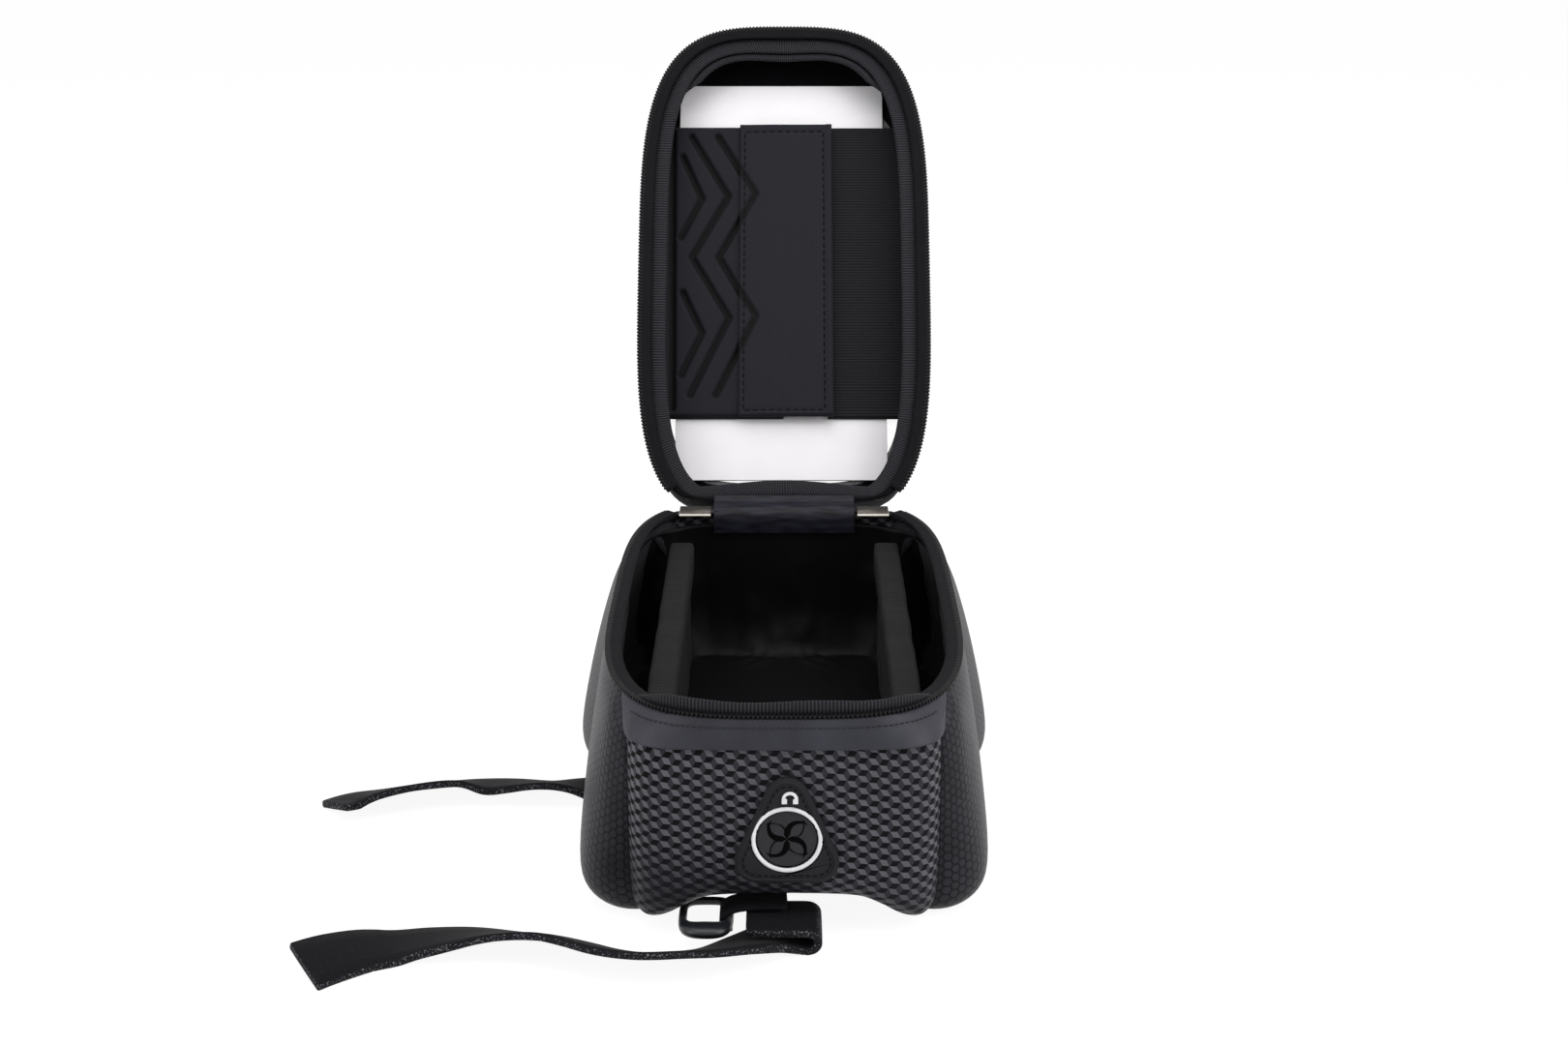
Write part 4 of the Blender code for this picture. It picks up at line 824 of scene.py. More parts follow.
def build_band_stitches():
    """Row of stitches under the rim, along the near band."""
    band = NODES["near_rim_band"].data
    tree = BVHTree.FromPolygons([v.co for v in band.vertices], [p.vertices for p in band.polygons])
    points, normals = [], []
    for step in range(-60, 61):
        x = 42 * MM * step / 60
        hit = tree.ray_cast(Vector((x, -0.2, RIM_HEIGHT - 2.2 * MM)), Vector((0, 1, 0)))
        if hit[0]:
            points.append(hit[0])
            normals.append(hit[1])
    row = stitch_row("band_stitches", points, normals, 1.6 * MM, 1.1 * MM, 0.32 * MM, 0.08 * MM)
    settle(row, "body", "smooth_skin")


def build_zip():
    """Tapes and teeth of both halves of the zip."""
    path, lengths = zip_path(1.0 * MM)
    low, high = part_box("body_zip_tape")
    thickness = (high.z - low.z) / 2
    build_zip_tape("zip_tape_body", path, lengths, low.z + thickness, 1.0, "body", "body_zip_tape")
    low, high = shut_box("lid_zip_tape")
    build_zip_tape("zip_tape_lid", path, lengths, low.z + thickness, -1.0, "lid", "lid_zip_tape")
    low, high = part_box("body_zip_coil")
    build_teeth("zip_teeth_body", (low.z + high.z) / 2, 0.0, "body", "body_zip_coil")
    low, high = shut_box("lid_zip_coil")
    build_teeth("zip_teeth_lid", (low.z + high.z) / 2, 0.5, "lid", "lid_zip_coil")


# Spacing of the zip's teeth, and how far their middles lie outside the rim
TOOTH_PITCH = 1.25 * MM
TEETH_REACH = 0.45 * MM


def build_teeth(name, height, phase, body, node):
    """Teeth side by side along the rim's edge, each a small rounded block."""
    path, _ = zip_path(TOOTH_PITCH)
    template = small_block((0.72 * MM, 1.8 * MM, 1.05 * MM), 0.24 * MM)
    places = []
    for index in range(1, len(path) - 2):
        place = path[index].lerp(path[index + 1], phase)
        out = -inward(place)
        along = path[index + 1] - path[index - 1]
        places.append(frame_matrix(place + out * TEETH_REACH + Vector((0, 0, height)), along, out))
    teeth = scatter(name, template, places, "zip_coil")
    if body == "lid":
        swing_open(teeth)
    settle(teeth, body, "zip_coil", node)


def build_zip_tape(name, path, lengths, height, side, body, node):
    """Woven tape, a little thicker over its sewn edge and with a cord under the teeth."""
    section = [(0.95, -0.30), (0.95, 0.25), (0.2, 0.34), (-1.2, 0.30), (-2.6, 0.22), (-3.7, 0.20),
               (-3.7, -0.20), (-1.2, -0.26)]
    sections = []
    for length in lengths:
        wave = 0.06 * math.sin(length / MM * 0.9)
        sections.append([(a * MM, (side * b + wave * 0.3) * MM) for a, b in section])
    tape = loft(name, rim_stations(path, height), sections, "zip_tape", lengths)
    if body == "lid":
        swing_open(tape)
    settle(tape, body, "zip_tape", node)


# Ribs on the tapes inside the rim and the lid's mouth: their spacing, and their depth in millimetres
RIB_PITCH = 1.02 * MM
RIB_DEPTH = 0.16


def rib_height(length, depth):
    """Height of a ribbed tape's face at a length along it, from 0 to its depth."""
    return depth * (0.5 + 0.5 * math.cos(2 * math.pi * length / RIB_PITCH))


def build_bindings():
    """Ribbed tapes inside the rim and round the lid's mouth, folded over their edges."""
    path, lengths = rim_path(0.34 * MM)
    low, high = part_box("rim_binding")
    edge = RIM_HALF_WIDTH - high.x
    sections = []
    for index, length in enumerate(lengths):
        rib = rib_height(length, RIB_DEPTH)
        wave = 0.12 * math.sin(length / MM * 0.21) + 0.10 * math.sin(length / MM * 0.077)
        y = path[index].y
        hang = smooth_step((y - 0.80 * RIM_FAR) / (0.13 * RIM_FAR))
        low = -3.75 - 11.0 * hang + (1.0 + 1.6 * hang) * wave
        lean = 1.5 * hang
        ring = [(0.0, 0.0), (-0.5 - rib, 0.25 + rib), (-1.1 - rib, 0.0), (-1.25 - rib - lean * 0.3, -1.4),
                (-1.25 - rib - lean + wave, low + 0.5), (-0.7 - lean, low), (-lean, low + 0.2)]
        sections.append(in_metres(ring, edge))
    binding = loft("rim_tape", rim_stations(path, high.z), sections, "grosgrain", lengths, closed=True)
    settle(binding, "body", "grosgrain", "rim_binding")
    build_standing_tape(path, lengths, high.z, edge)
    low, high = shut_box("lid_binding")
    edge = RIM_HALF_WIDTH - high.x
    sections = []
    for index, length in enumerate(lengths):
        rib = rib_height(length, RIB_DEPTH)
        ring = [(0.0, 0.0), (0.0, 1.0), (-5.2, 1.1), (-6.2, 0.9), (-6.5, 0.3 - rib), (-5.4, -rib),
                (-2.4, -0.1 - rib)]
        sections.append(in_metres(ring, edge))
    binding = loft("lid_mouth_tape", rim_stations(path, low.z), sections, "grosgrain", lengths, closed=True)
    swing_open(binding)
    settle(binding, "lid", "grosgrain", "lid_binding")
    build_second_tape(path, lengths, low.z, edge)


def build_standing_tape(path, lengths, height, edge):
    """Slack stretch of the rim's tape that stands up at the near end."""
    stations, sections, along = [], [], []
    for station, length, place in zip(rim_stations(path, height), lengths, path):
        if place.y > -0.80 * RIM_NEAR:
            continue
        rib = rib_height(length, RIB_DEPTH)
        slack = 0.35 * math.sin(length / MM * 0.17)
        lift = 0.1 + (4.3 + slack) * smooth_step((-0.80 * RIM_NEAR - place.y) / (0.16 * RIM_NEAR))
        ring = [(-0.15, -0.45), (-0.15, lift), (-0.6 - rib, lift + 0.25), (-1.1 - rib, lift),
                (-1.2 - rib, -0.45)]
        stations.append(station)
        sections.append(in_metres(ring, edge))
        along.append(length)
    tape = loft("rim_tape_standing", stations, sections, "grosgrain", along)
    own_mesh(tape)
    settle(tape, "body", "grosgrain")


def build_second_tape(path, lengths, height, edge):
    """Ribbed band inside the lid's mouth at the free end, tucked under the first tape elsewhere."""
    sections = []
    for index, length in enumerate(lengths):
        near = smooth_step((-path[index].y - 0.72 * RIM_NEAR) / (0.14 * RIM_NEAR))
        rib = rib_height(length, 0.14) * near
        start = -5.0 - 1.8 * near
        end = start - 0.4 - 2.0 * near
        ring = [(start, 0.95 - rib), (end, 1.2 - rib), (end, 1.7), (start, 1.55)]
        sections.append(in_metres(ring, edge))
    band = loft("lid_second_tape", rim_stations(path, height), sections, "grosgrain", lengths, closed=True)
    swing_open(band)
    settle(band, "lid", "grosgrain")


def build_lining():
    """Black inner tub with soft wrinkles, knitted on the side walls."""
    tub = soften("lining", "inner_lining", "nylon", 0.5)
    tub.data.materials.append(finish_of("knit"))
    for polygon in tub.data.polygons:
        steep = abs(polygon.normal.x) > 0.75
        polygon.material_index = 1 if steep and abs(polygon.center.y) < 0.8 * RIM_NEAR else 0
    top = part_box("lining")[1].z
    for vert in tub.data.vertices:
        depth = smooth_step((top - vert.co.z - 7 * MM) / (14 * MM))
        toward = Vector((-vert.co.x, -vert.co.y, 0.0)).normalized()
        fold = noise.noise(vert.co / (13 * MM)) + 0.5 * noise.noise(vert.co / (5 * MM))
        vert.co += toward * max(fold, 0.0) * 1.6 * MM * depth
    settle(tub, "body", "nylon", "lining")


def build_dividers():
    """Two padded dividers, each with a folded tape over its top edge."""
    for side, word in ((-1, "left"), (1, "right")):
        node = word + "_divider"
        pad = copy_node(node, word + "_pad", "felt")
        apply_modifier(pad, "REMESH", mode="VOXEL", voxel_size=2.0 * MM)
        low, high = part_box(node)
        middle = (low + high) / 2
        for vert in pad.data.vertices:
            along = (vert.co.y - middle.y) / (high.y - low.y) * 2
            up = (vert.co.z - middle.z) / (high.z - low.z) * 2
            crown = max(0.0, 1 - along ** 4) * max(0.0, 1 - up ** 4)
            vert.co.x += (vert.co.x - middle.x) * (0.22 * crown - 0.12)
        ripple(pad, 0.5 * MM, 9 * MM, seed=side)
        subdivide(pad, 1)
        pad.data.shade_smooth()
        settle(pad, "body", "felt", node)
        build_divider_tape(side, word)


def build_divider_tape(side, word):
    """Tape over a divider's top: slack, uneven and a little frayed towards the middle."""
    node = word + "_divider_binding"
    tape_low, tape_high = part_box(node)
    path, lengths = even_path([(0, tape_low.y, 0), (0, tape_high.y, 0)], 0.6 * MM)
    half = (tape_high.x - tape_low.x) / 2
    middle = (tape_high.x + tape_low.x) / 2
    stations, sections = [], []
    for place, length in zip(path, lengths):
        stations.append((Vector((middle, place.y, tape_high.z)), Vector((side, 0, 0)), Vector((0, 0, 1))))
        slack = 0.5 * MM * noise.noise(Vector((side * 3.0, length / (14 * MM), 0)))
        drop = 0.5 * MM * noise.noise(Vector((side * 7.0, length / (9 * MM), 4.0)))
        drop += 0.45 * MM * noise.noise(Vector((side * 5.0, length / (1.6 * MM), 9.0)))
        bottom = tape_low.z - tape_high.z
        fold = 1.3 * MM
        ring = [(-half, bottom + drop), (-half, -fold), (-half + fold * 0.35, -fold * 0.25),
                (-half + fold, 0.0), (half - fold, 0.0), (half - fold * 0.35, -fold * 0.25),
                (half, -fold), (half, bottom - drop), (half - 0.7 * MM, bottom - drop),
                (half - 0.8 * MM, -fold * 1.2), (half - fold * 1.1, -0.85 * MM),
                (-half + fold * 1.1, -0.85 * MM), (-half + 0.8 * MM, -fold * 1.2),
                (-half + 0.7 * MM, bottom + drop)]
        sections.append([(a + slack * 0.5, b + slack) for a, b in ring])
    tape = loft(word + "_divider_tape", stations, sections, "divider_satin", lengths)
    settle(tape, "body", "grosgrain", node)


def build_hinge():
    """Satin strip that joins the far wall to the lid."""
    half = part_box("hinge_fabric")[1].x
    profile = [(-6.5, -8.2), (-6.4, -5.0), (-5.9, -1.8), (-4.0, 0.1), (-1.2, 0.75), (0.6, 0.85), (1.8, 1.6),
               (2.9, 2.7)]
    curve, _ = spline([(0.0, HINGE.y + y * MM, HINGE.z + z * MM) for y, z in profile], 0.35 * MM)
    columns = 100
    verts, uvs, faces = [], [], []
    for column in range(columns + 1):
        x = -half + 2 * half * column / columns
        for row, place in enumerate(curve):
            share = math.sin(math.pi * row / (len(curve) - 1))
            wave = 0.30 * MM * noise.noise(Vector((x / (6 * MM), row * 0.18, 0.0))) * share
            verts.append(Vector((x, place.y - wave * 0.6, place.z + wave)))
            uvs.append((x / MM, row * 0.35))
    rows = len(curve)
    for column in range(columns):
        for row in range(rows - 1):
            base = column * rows + row
            faces.append((base, base + rows, base + rows + 1, base + 1))
    strip = add_item("hinge_strip", verts, faces, "satin", uvs=uvs)
    apply_modifier(strip, "SOLIDIFY", thickness=0.35 * MM, offset=0.0)
    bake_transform(strip)
    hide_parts("hinge_fabric")


def build_sliders():
    """Cast metal sliders with a waist and a bridge, and slim pulls behind them."""
    for word in ("left", "right"):
        slider = copy_node(word + "_slider", word + "_zip_slider", "slider_metal")
        low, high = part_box(word + "_slider")
        middle = (low + high) / 2
        for vert in slider.data.vertices:
            vert.co.z = middle.z + (vert.co.z - middle.z) * 0.55
        apply_modifier(slider, "BEVEL", width=0.35 * MM, segments=3, limit_method="ANGLE")
        slider.data.shade_smooth()
        settle(slider, "body", "slider_metal", word + "_slider")
        pull = copy_node(word + "_pull_tab", word + "_zip_pull", "slider_metal")
        apply_modifier(pull, "BEVEL", width=0.3 * MM, segments=3, limit_method="ANGLE")
        pull.data.shade_smooth()
        settle(pull, word + "_pull", "slider_metal", word + "_pull_tab")


# Lid pieces

def build_lid():
    """Moulded lid frame with its window film and the blank card."""
    shell = soften("lid_shell", "lid_frame", "lid_skin", 0.8, angle=60)
    settle(shell, "lid", "lid_skin", "lid_shell")
    NODES["window_film"].data.materials.clear()
    NODES["window_film"].data.materials.append(finish_of("clear_film"))
    card = copy_node("phone_card", "blank_card", "card")
    apply_modifier(card, "BEVEL", width=0.15 * MM, segments=2, limit_method="ANGLE")
    settle(card, "lid", "card", "phone_card")


# Chevron grooves on the phone strap, as (x, distance from the hinge) in millimetres
CHEVRONS = [
    [(-37.8, 139.7), (-30.4, 122.6), (-38.1, 107.0)],
    [(-37.1, 85.0), (-29.8, 69.0), (-37.3, 52.8)],
    [(-34.6, 148.0), (-20.6, 123.5), (-33.9, 99.0), (-20.0, 75.0), (-33.9, 45.0)],
    [(-24.6, 148.0), (-10.5, 124.0), (-24.0, 99.0), (-10.3, 75.0), (-24.6, 45.0)],
    [(-41.6, 150.0), (-41.0, 100.0), (-40.2, 40.0)],
]
GROOVE_WIDTH = 3.5
GROOVE_DEPTH = 1.35


def groove_depth(x, s):
    """How deep the chevron grooves are at a place on the strap, in millimetres."""
    nearest = 1000.0
    for line in CHEVRONS:
        for (ax, ay), (bx, by) in zip(line, line[1:]):
            dx, dy = bx - ax, by - ay
            t = min(max(((x - ax) * dx + (s - ay) * dy) / (dx * dx + dy * dy), 0.0), 1.0)
            nearest = min(nearest, math.hypot(x - ax - t * dx, s - ay - t * dy))
    return GROOVE_DEPTH * (1.0 - smooth_step((nearest / (GROOVE_WIDTH / 2) - 0.25) / 0.75))


def strap_grid(name, low, high, step, height_at, finish):
    """Closed pad between two corners of the shut lid; its free face looks down into the bag."""
    columns = max(2, round((high.x - low.x) / step))
    rows = max(2, round((high.y - low.y) / step))
    verts, uvs, faces = [], [], []
    for layer in (0, 1):
        for column in range(columns + 1):
            x = low.x + (high.x - low.x) * column / columns
            for row in range(rows + 1):
                y = low.y + (high.y - low.y) * row / rows
                z = high.z if layer else height_at(x, y)
                verts.append(Vector((x, y, z)))
                uvs.append((x / MM, y / MM))
    stride = rows + 1
    size = (columns + 1) * stride
    for column in range(columns):
        for row in range(rows):
            base = column * stride + row
            faces.append((base, base + 1, base + stride + 1, base + stride))
            faces.append((size + base, size + base + stride, size + base + stride + 1, size + base + 1))
    edge = ([c * stride for c in range(columns + 1)] + [columns * stride + r for r in range(1, rows + 1)]
            + [c * stride + rows for c in range(columns - 1, -1, -1)] + list(range(rows - 1, 0, -1)))
    for first, second in zip(edge, edge[1:] + edge[:1]):
        faces.append((first, second, size + second, size + first))
    item = add_item(name, verts, faces, finish, uvs=uvs)
    face_out(item)
    # Share of painted shade at each point, growing with the depth of the chevron grooves.
    sunk = item.data.attributes.new("sunk", "FLOAT", "POINT")
    for vert, value in zip(item.data.vertices, sunk.data):
        depth = groove_depth(vert.co.x / MM, (HINGE.y - vert.co.y) / MM)
        value.value = min(1.0, depth / (0.7 * GROOVE_DEPTH))
    return item


def edge_round(x, y, low, high, radius):
    """Drop of a pad's face near its edges, from 0 inside to 1 at the edge."""
    inside = min(x - low.x, high.x - x, y - low.y, high.y - y)
    share = 1.0 - min(max(inside / radius, 0.0), 1.0)
    return 1.0 - math.sqrt(max(0.0, 1.0 - share * share))


def build_phone_strap():
    """Grooved wing, stitched flap over it, and ribbed elastic on the other side."""
    low, high = shut_box("phone_strap_wing")
    flap_low, flap_high = shut_box("phone_strap_flap")
    thickness = high.z - low.z

    def wing_height(x, y):
        depth = groove_depth(x / MM, (HINGE.y - y) / MM) * MM
        soft = 0.10 * MM * noise.noise(Vector((x, y, 0)) / (11 * MM))
        return low.z + 0.2 * MM + depth + soft + thickness * 0.8 * edge_round(x, y, low, high, 1.8 * MM)

    wing = strap_grid("strap_wing", low, high, 0.55 * MM, wing_height, "foam_fabric")
    swing_open(wing)
    settle(wing, "lid", "foam_fabric", "phone_strap_wing")

    def flap_height(x, y):
        groove = groove_depth(x / MM, (HINGE.y - y) / MM) * MM * 0.6
        soft = 0.10 * MM * noise.noise(Vector((x, y, 5)) / (12 * MM))
        fold = -0.35 * MM * smooth_step((x - flap_high.x + 3 * MM) / (1.5 * MM))
        full = smooth_step((x - flap_low.x) / (14 * MM))
        depth = (flap_high.z - flap_low.z) * (0.45 + 0.35 * full)
        sunk_line = 0.25 * MM * smooth_step(1.0 - stitch_distance(x, y) / (0.9 * MM))
        face = flap_high.z - depth + groove + soft + fold + sunk_line
        rounded = face + depth * 0.7 * edge_round(x, y, flap_low, flap_high, 0.8 * MM)
        return min(rounded, flap_high.z - 0.15 * MM)

    flap = strap_grid("strap_flap", flap_low, flap_high, 0.6 * MM, flap_height, "flap_fabric")
    build_flap_stitches(flap_height)
    swing_open(flap)
    settle(flap, "lid", "foam_fabric", "phone_strap_flap")

    low, high = shut_box("phone_strap_elastic")
    depth = high.z - low.z

    def elastic_height(x, y):
        rib = 0.12 * MM * (0.5 + 0.5 * math.cos(2 * math.pi * x / (1.3 * MM)))
        return low.z + 0.15 * MM + rib + depth * 0.6 * edge_round(x, y, low, high, 0.8 * MM)

    start = Vector((flap_high.x - 2 * MM, low.y, low.z))
    elastic = strap_grid("strap_elastic", start, high, 0.45 * MM, elastic_height, "elastic")
    swing_open(elastic)
    settle(elastic, "lid", "elastic", "phone_strap_elastic")


# Rectangle of stitches on the flap, between these places across and from the hinge
STITCH_LEFT, STITCH_RIGHT = -14.6 * MM, 14.6 * MM
STITCH_NEAR, STITCH_FAR = HINGE.y - 149.2 * MM, HINGE.y - 38.7 * MM


def stitch_distance(x, y):
    """How far a place lies from the rectangle of stitches."""
    outside = max(STITCH_LEFT - x, x - STITCH_RIGHT, STITCH_NEAR - y, y - STITCH_FAR)
    return abs(outside)


def build_flap_stitches(height_at):
    """Rectangle of stitches just inside the flap's edges."""
    left, right, near, far = STITCH_LEFT, STITCH_RIGHT, STITCH_NEAR, STITCH_FAR
    corners = [(left, near), (right, near), (right, far), (left, far)]
    places = []
    template = small_block((1.9 * MM, 0.60 * MM, 0.40 * MM), 0.16 * MM)
    for (ax, ay), (bx, by) in zip(corners, corners[1:] + corners[:1]):
        path, _ = even_path([(ax, ay, 0), (bx, by, 0)], 3.0 * MM)
        for first, second in zip(path, path[1:]):
            middle = (first + second) / 2
            middle.z = height_at(middle.x, middle.y)
            places.append(frame_matrix(middle, second - first, Vector((0, 0, 1)).cross(second - first)))
    stitches = scatter("flap_stitches", template, places, "sunk_thread")
    swing_open(stitches)
    settle(stitches, "lid", "foam_fabric")


# Cable port

def build_port():
    """Rubber patch with a raised border, white ring, slit membrane and a small symbol."""
    patch = copy_node("port_patch", "cable_patch", "rubber")
    apply_modifier(patch, "BEVEL", width=0.5 * MM, segments=3, limit_method="ANGLE",
                   angle_limit=math.radians(50))
    patch.data.shade_smooth()
    settle(patch, "body", "rubber", "port_patch")
    low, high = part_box("port_ring")
    radius = (high.x - low.x) / 2
    bpy.ops.object.select_all(action="DESELECT")
    band = 0.6 * MM
    bpy.ops.mesh.primitive_torus_add(major_radius=radius - band, minor_radius=band, major_segments=72,
                                     minor_segments=12)
    ring = bpy.context.object
    ring.name = "port_white_ring"
    middle = (low + high) / 2
    upright = Matrix.Rotation(math.pi / 2, 4, "X")
    ring.data.transform(Matrix.Translation((middle.x, low.y + band, middle.z)) @ upright)
    ring.data.materials.append(finish_of("white_rubber"))
    ring.data.shade_smooth()
    settle(ring, "body", "white_rubber", "port_ring")
    membrane = copy_node("port_membrane", "cable_membrane", "membrane_rubber")
    apply_modifier(membrane, "BEVEL", width=0.2 * MM, segments=2, limit_method="ANGLE")
    settle(membrane, "body", "rubber", "port_membrane")
    build_port_blades(middle.x, middle.z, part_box("port_membrane")[0].y)
    build_patch_border()
    symbol = copy_node("port_symbol", "earphone_symbol", "white_rubber")
    settle(symbol, "body", "white_rubber", "port_symbol")


def build_port_blades(x, z, face):
    """Four thin curved lips over the membrane, each turning clockwise as it runs out."""
    reach = (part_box("port_membrane")[1].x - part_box("port_membrane")[0].x) / 2
    verts, faces = [], []
    for arm in range(4):
        base = len(verts)
        steps = 14
        for step in range(steps + 1):
            share = step / steps
            radius = reach * (0.02 + 0.83 * share)
            turn = math.radians(90 * arm - 48 * share ** 2.4)
            half = (0.95 - 0.20 * share) * MM
            for height, scale in ((0.0, 1.0), (-0.12 * MM, 0.88)):
                for side in (-1, 1):
                    angle = turn + side * scale * half / max(radius, 1.6 * MM)
                    verts.append((x + radius * math.cos(angle), face + height, z + radius * math.sin(angle)))
        for step in range(steps):
            a, b = base + step * 4, base + step * 4 + 4
            faces += [(a, a + 2, b + 2, b), (a + 2, a + 3, b + 3, b + 2), (a + 3, a + 1, b + 1, b + 3),
                      (a + 1, a, b, b + 1)]
        last = base + steps * 4
        faces += [(base, base + 1, base + 3, base + 2), (last, last + 2, last + 3, last + 1)]
    blades = add_item("membrane_lips", verts, faces, "gloss_rubber")
    face_out(blades)
    settle(blades, "body", "rubber")


# How far the ridge and the stitches lie inside the patch's edge, and the step along it
RIDGE_INSET = 1.0 * MM
STITCH_INSET = 2.2 * MM
PATCH_STEP = 0.6 * MM


def patch_edge(inset):
    """Front outline of the patch, drawn in by a distance, as a closed path on its face."""
    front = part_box("port_patch")[0].y
    points = [v.co.copy() for v in NODES["port_patch"].data.vertices if v.co.y < front + 0.05 * MM]
    middle = sum(points, Vector()) / len(points)
    ring = {}
    for point in points:
        turn = round(math.atan2(point.z - middle.z, point.x - middle.x), 2)
        if turn not in ring or (point - middle).length > (ring[turn] - middle).length:
            ring[turn] = point
    outline = [ring[turn] for turn in sorted(ring)]
    low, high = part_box("port_patch")
    outline = [p for p in outline if (p - middle).length > 0.8 * (high.x - low.x) / 2]
    path, _ = even_path(outline, PATCH_STEP, closed=True)
    inner = []
    for index, place in enumerate(path):
        along = (path[(index + 1) % len(path)] - path[index - 1]).normalized()
        inner.append(place + Vector((-along.z, 0, along.x)) * inset)
    return inner


def build_patch_border():
    """Raised ridge and a line of sunk stitches along the patch's edge."""
    path = patch_edge(RIDGE_INSET)
    up = Vector((0, -1, 0))
    stations = []
    for index, place in enumerate(path):
        along = (path[(index + 1) % len(path)] - path[index - 1]).normalized()
        stations.append((place, Vector((-along.z, 0, along.x)), up))
    ring = [(-0.55, -0.05), (-0.35, 0.28), (0.0, 0.38), (0.35, 0.28), (0.55, -0.05)]
    sections = [in_metres(ring)] * len(stations)
    lengths = [PATCH_STEP * index for index in range(len(path))]
    border = loft("patch_border", stations, sections, "rubber", lengths, closed=True)
    settle(border, "body", "rubber")
    inner = patch_edge(STITCH_INSET)
    stitches = stitch_row("patch_stitches", inner + inner[:1], [up] * (len(inner) + 1), 1.9 * MM, 1.2 * MM,
                          0.34 * MM, 0.02 * MM, "sunk_thread")
    settle(stitches, "body", "rubber")


# Straps

LOOP_WIDTH = 10 * MM
NEAR_STRAP_LENGTH = 173.5 * MM
FAR_STRAP_LENGTH = 139.7 * MM


def build_straps():
    """Two straps, and the plastic ring on its loop."""
    for node, name, length in (("near_strap", "long_strap", NEAR_STRAP_LENGTH),
                               ("far_strap", "short_strap", FAR_STRAP_LENGTH)):
        strap = soften(node, name, "webbing", 0.85)
        for vert in strap.data.vertices:
            vert.co.z = max(vert.co.z, GROUND + 0.02 * MM)
        strap.data.materials.append(finish_of("hook_edge"))
        for polygon in strap.data.polygons:
            polygon.material_index = 1 if abs(polygon.normal.z) < 0.75 else 0
        settle(strap, "body", "webbing", node)
    ring = soften("strap_ring", "oblong_ring", "ring_plastic", 0.0, angle=80)
    settle(ring, "body", "ring_plastic", "strap_ring")
    loop = soften("ring_loop", "webbing_loop", "webbing", 0.8, levels=1)
    low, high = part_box("ring_loop")
    for vert in loop.data.vertices:
        vert.co.y += (vert.co.y - (low.y + high.y) / 2) * (LOOP_WIDTH / (high.y - low.y) - 1.0)
    settle(loop, "body", "webbing", "ring_loop")


# Stage

CAMERA_PLACE = (0.0, -0.63087, 0.28277)
CAMERA_PITCH = math.radians(17.79)


def build_stage(stage):
    """Camera, soft lights, white surroundings and a pale floor."""
    scene = bpy.context.scene
    scene.view_settings.view_transform = "Standard"
    camera = bpy.data.objects.new("camera", bpy.data.cameras.new("camera"))
    camera.location = CAMERA_PLACE
    camera.rotation_euler = (math.pi / 2 - CAMERA_PITCH, 0.0, 0.0)
    camera.data.lens = 50.0
    camera.data.sensor_width = 36.0
    scene.collection.objects.link(camera)
    scene.camera = camera
    for name, place, target, size, power in stage_lights(stage):
        light = bpy.data.lights.new(name, "AREA")
        light.shape = "RECTANGLE"
        light.size, light.size_y = size
        light.energy = power
        lamp = bpy.data.objects.new(name, light)
        lamp.location = place
        lamp.rotation_euler = (Vector(target) - Vector(place)).to_track_quat("-Z", "Y").to_euler()
        scene.collection.objects.link(lamp)
    build_surroundings(scene, stage)
    bpy.ops.object.select_all(action="DESELECT")
    bpy.ops.mesh.primitive_plane_add(size=24.0, location=(0.0, 6.0, GROUND))
    floor = bpy.context.object
    floor.name = "floor"
    floor.data.materials.append(floor_finish())


def stage_lights(stage):
    """Name, place, target, size and power of each lamp."""
    level = stage.light_level
    return [("top_softbox", (0.0, -0.1, 1.1), (0.0, 0.0, 0.0), (1.2, 1.0), 8.4 * level),
            ("left_softbox", (-1.0, -0.5, 0.6), (0.0, 0.0, 0.05), (0.7, 0.9), 4.0 * level),
            ("right_softbox", (1.0, -0.4, 0.7), (0.0, 0.0, 0.05), (0.7, 0.9), 7.0 * level)]


def build_surroundings(scene, stage):
    """Grey surroundings that light the bag, white where the camera, gloss or clear film sees them."""
    world = scene.world or bpy.data.worlds.new("World")
    scene.world = world
    world.use_nodes = True
    tree = world.node_tree
    tree.nodes.clear()
    path = tree.nodes.new("ShaderNodeLightPath")
    seen = path.outputs["Is Camera Ray"]
    for ray in ("Is Glossy Ray", "Is Transmission Ray"):
        either = tree.nodes.new("ShaderNodeMath")
        either.operation = "MAXIMUM"
        tree.links.new(seen, either.inputs[0])
        tree.links.new(path.outputs[ray], either.inputs[1])
        seen = either.outputs[0]
    mix = tree.nodes.new("ShaderNodeMixShader")
    tree.links.new(seen, mix.inputs["Fac"])
    for socket, strength in ((mix.inputs[1], 0.35 * stage.light_level), (mix.inputs[2], 1.0)):
        white = tree.nodes.new("ShaderNodeBackground")
        white.inputs["Color"].default_value = (1.0, 1.0, 1.0, 1.0)
        white.inputs["Strength"].default_value = strength
        tree.links.new(white.outputs[0], socket)
    output = tree.nodes.new("ShaderNodeOutputWorld")
    tree.links.new(mix.outputs[0], output.inputs["Surface"])


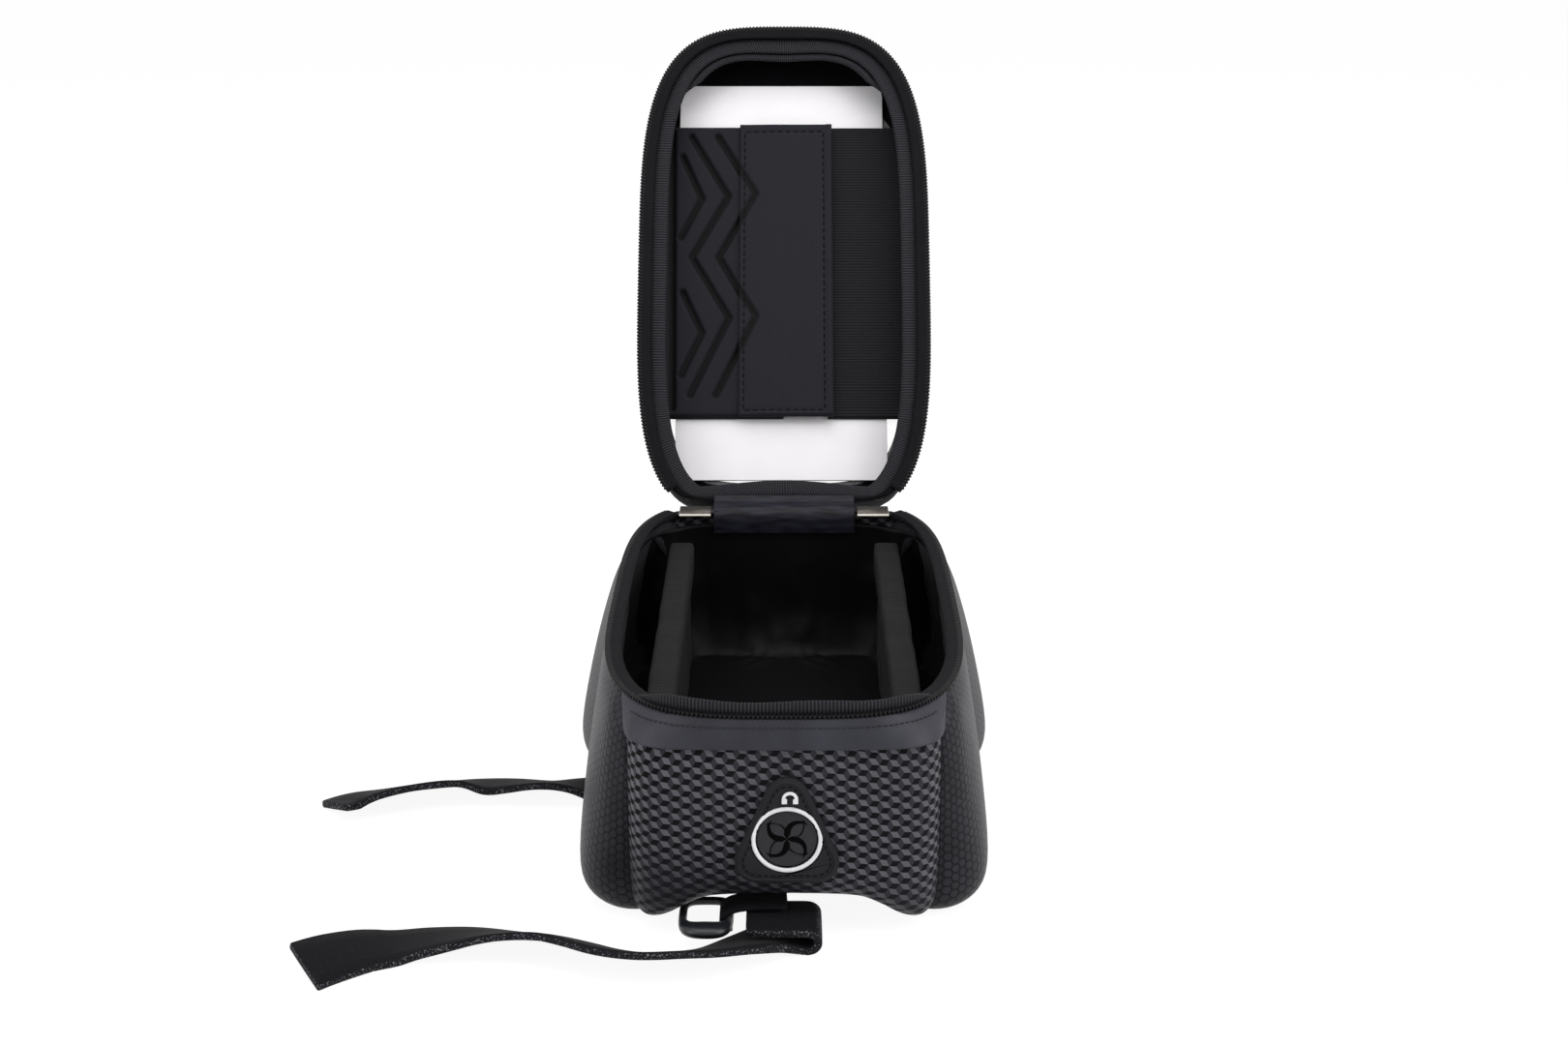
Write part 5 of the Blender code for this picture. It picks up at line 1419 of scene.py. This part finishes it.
def floor_finish():
    """Pale floor that reads white to the camera and keeps a soft shadow."""
    finish = Finish("floor_white", (0.93, 0.93, 0.93), 0.9, Specular_IOR_Level=0.0)
    path = finish.node("LightPath")
    glow = finish.node("Emission")
    glow.inputs["Strength"].default_value = 1.15
    mix = finish.node("MixShader")
    seen = finish.math("MAXIMUM", path.outputs["Is Camera Ray"], path.outputs["Is Glossy Ray"])
    finish.feed(mix.inputs["Fac"], finish.math("MULTIPLY", seen, 0.8))
    finish.feed(mix.inputs[1], finish.shader.outputs[0])
    finish.feed(mix.inputs[2], glow.outputs[0])
    output = finish.tree.nodes["Material Output"]
    finish.feed(output.inputs["Surface"], mix.outputs[0])
    return finish.material


class BagShellSettings(bpy.types.PropertyGroup):
    """Sizes of the moulded walls' finish."""

    seam_sharpness: bpy.props.FloatProperty(
        name="Seam sharpness", description="How crisp the edges where two walls meet are",
        default=0.7, min=0.0, max=1.0)
    droop: bpy.props.FloatProperty(
        name="Pattern droop", description="How much the cube pattern falls to the right",
        default=0.09, min=-0.3, max=0.3)


class BagStageSettings(bpy.types.PropertyGroup):
    """Light on the bag."""

    light_level: bpy.props.FloatProperty(
        name="Light level", description="Strength of the lamps and the grey surroundings",
        default=1.0, min=0.1, max=4.0, subtype="FACTOR")


class BAG_OT_shell(bpy.types.Operator):
    """Model the moulded walls, the base and the band under the rim"""

    bl_idname = "phone_bag.shell"
    bl_label = "Walls and base"

    def execute(self, context):
        build_shell(context.scene.bag_shell)
        return {"FINISHED"}


class BAG_OT_zip(bpy.types.Operator):
    """Model the zip's tapes, teeth and sliders"""

    bl_idname = "phone_bag.zip"
    bl_label = "Zip"

    def execute(self, context):
        build_zip()
        build_sliders()
        return {"FINISHED"}


class BAG_OT_inside(bpy.types.Operator):
    """Model the lining, the bindings, the dividers and the hinge strip"""

    bl_idname = "phone_bag.inside"
    bl_label = "Lining and tapes"

    def execute(self, context):
        build_bindings()
        build_lining()
        build_dividers()
        build_hinge()
        return {"FINISHED"}


class BAG_OT_lid(bpy.types.Operator):
    """Model the lid, its window and the phone strap"""

    bl_idname = "phone_bag.lid"
    bl_label = "Lid and phone strap"

    def execute(self, context):
        build_lid()
        build_phone_strap()
        return {"FINISHED"}


class BAG_OT_port(bpy.types.Operator):
    """Model the cable port on the near wall"""

    bl_idname = "phone_bag.port"
    bl_label = "Cable port"

    def execute(self, context):
        build_port()
        return {"FINISHED"}


class BAG_OT_straps(bpy.types.Operator):
    """Model the two straps, the ring and its loop"""

    bl_idname = "phone_bag.straps"
    bl_label = "Straps"

    def execute(self, context):
        build_straps()
        return {"FINISHED"}


class BAG_OT_stage(bpy.types.Operator):
    """Set up the camera, the lights and the floor"""

    bl_idname = "phone_bag.stage"
    bl_label = "Stage"

    def execute(self, context):
        build_stage(context.scene.bag_stage)
        return {"FINISHED"}


class BAG_PT_sidebar(bpy.types.Panel):
    """Lists the bag's operators and settings"""

    bl_label = "Phone bag"
    bl_idname = "BAG_PT_sidebar"
    bl_space_type = "VIEW_3D"
    bl_region_type = "UI"
    bl_category = "Phone bag"

    def draw(self, context):
        layout = self.layout
        layout.prop(context.scene.bag_shell, "seam_sharpness")
        layout.prop(context.scene.bag_shell, "droop")
        layout.prop(context.scene.bag_stage, "light_level")
        for operator in OPERATORS:
            layout.operator(operator.bl_idname)


OPERATORS = (BAG_OT_stage, BAG_OT_shell, BAG_OT_zip, BAG_OT_inside, BAG_OT_lid, BAG_OT_port, BAG_OT_straps)
CLASSES = (BagShellSettings, BagStageSettings) + OPERATORS + (BAG_PT_sidebar,)


def register():
    for item in CLASSES:
        bpy.utils.register_class(item)
    bpy.types.Scene.bag_shell = bpy.props.PointerProperty(type=BagShellSettings)
    bpy.types.Scene.bag_stage = bpy.props.PointerProperty(type=BagStageSettings)


def unregister():
    del bpy.types.Scene.bag_stage
    del bpy.types.Scene.bag_shell
    for item in reversed(CLASSES):
        bpy.utils.unregister_class(item)


def main():
    register()
    bpy.ops.phone_bag.stage()
    bpy.ops.phone_bag.shell()
    bpy.ops.phone_bag.zip()
    bpy.ops.phone_bag.inside()
    bpy.ops.phone_bag.lid()
    bpy.ops.phone_bag.port()
    bpy.ops.phone_bag.straps()


if __name__ == "__main__":
    main()
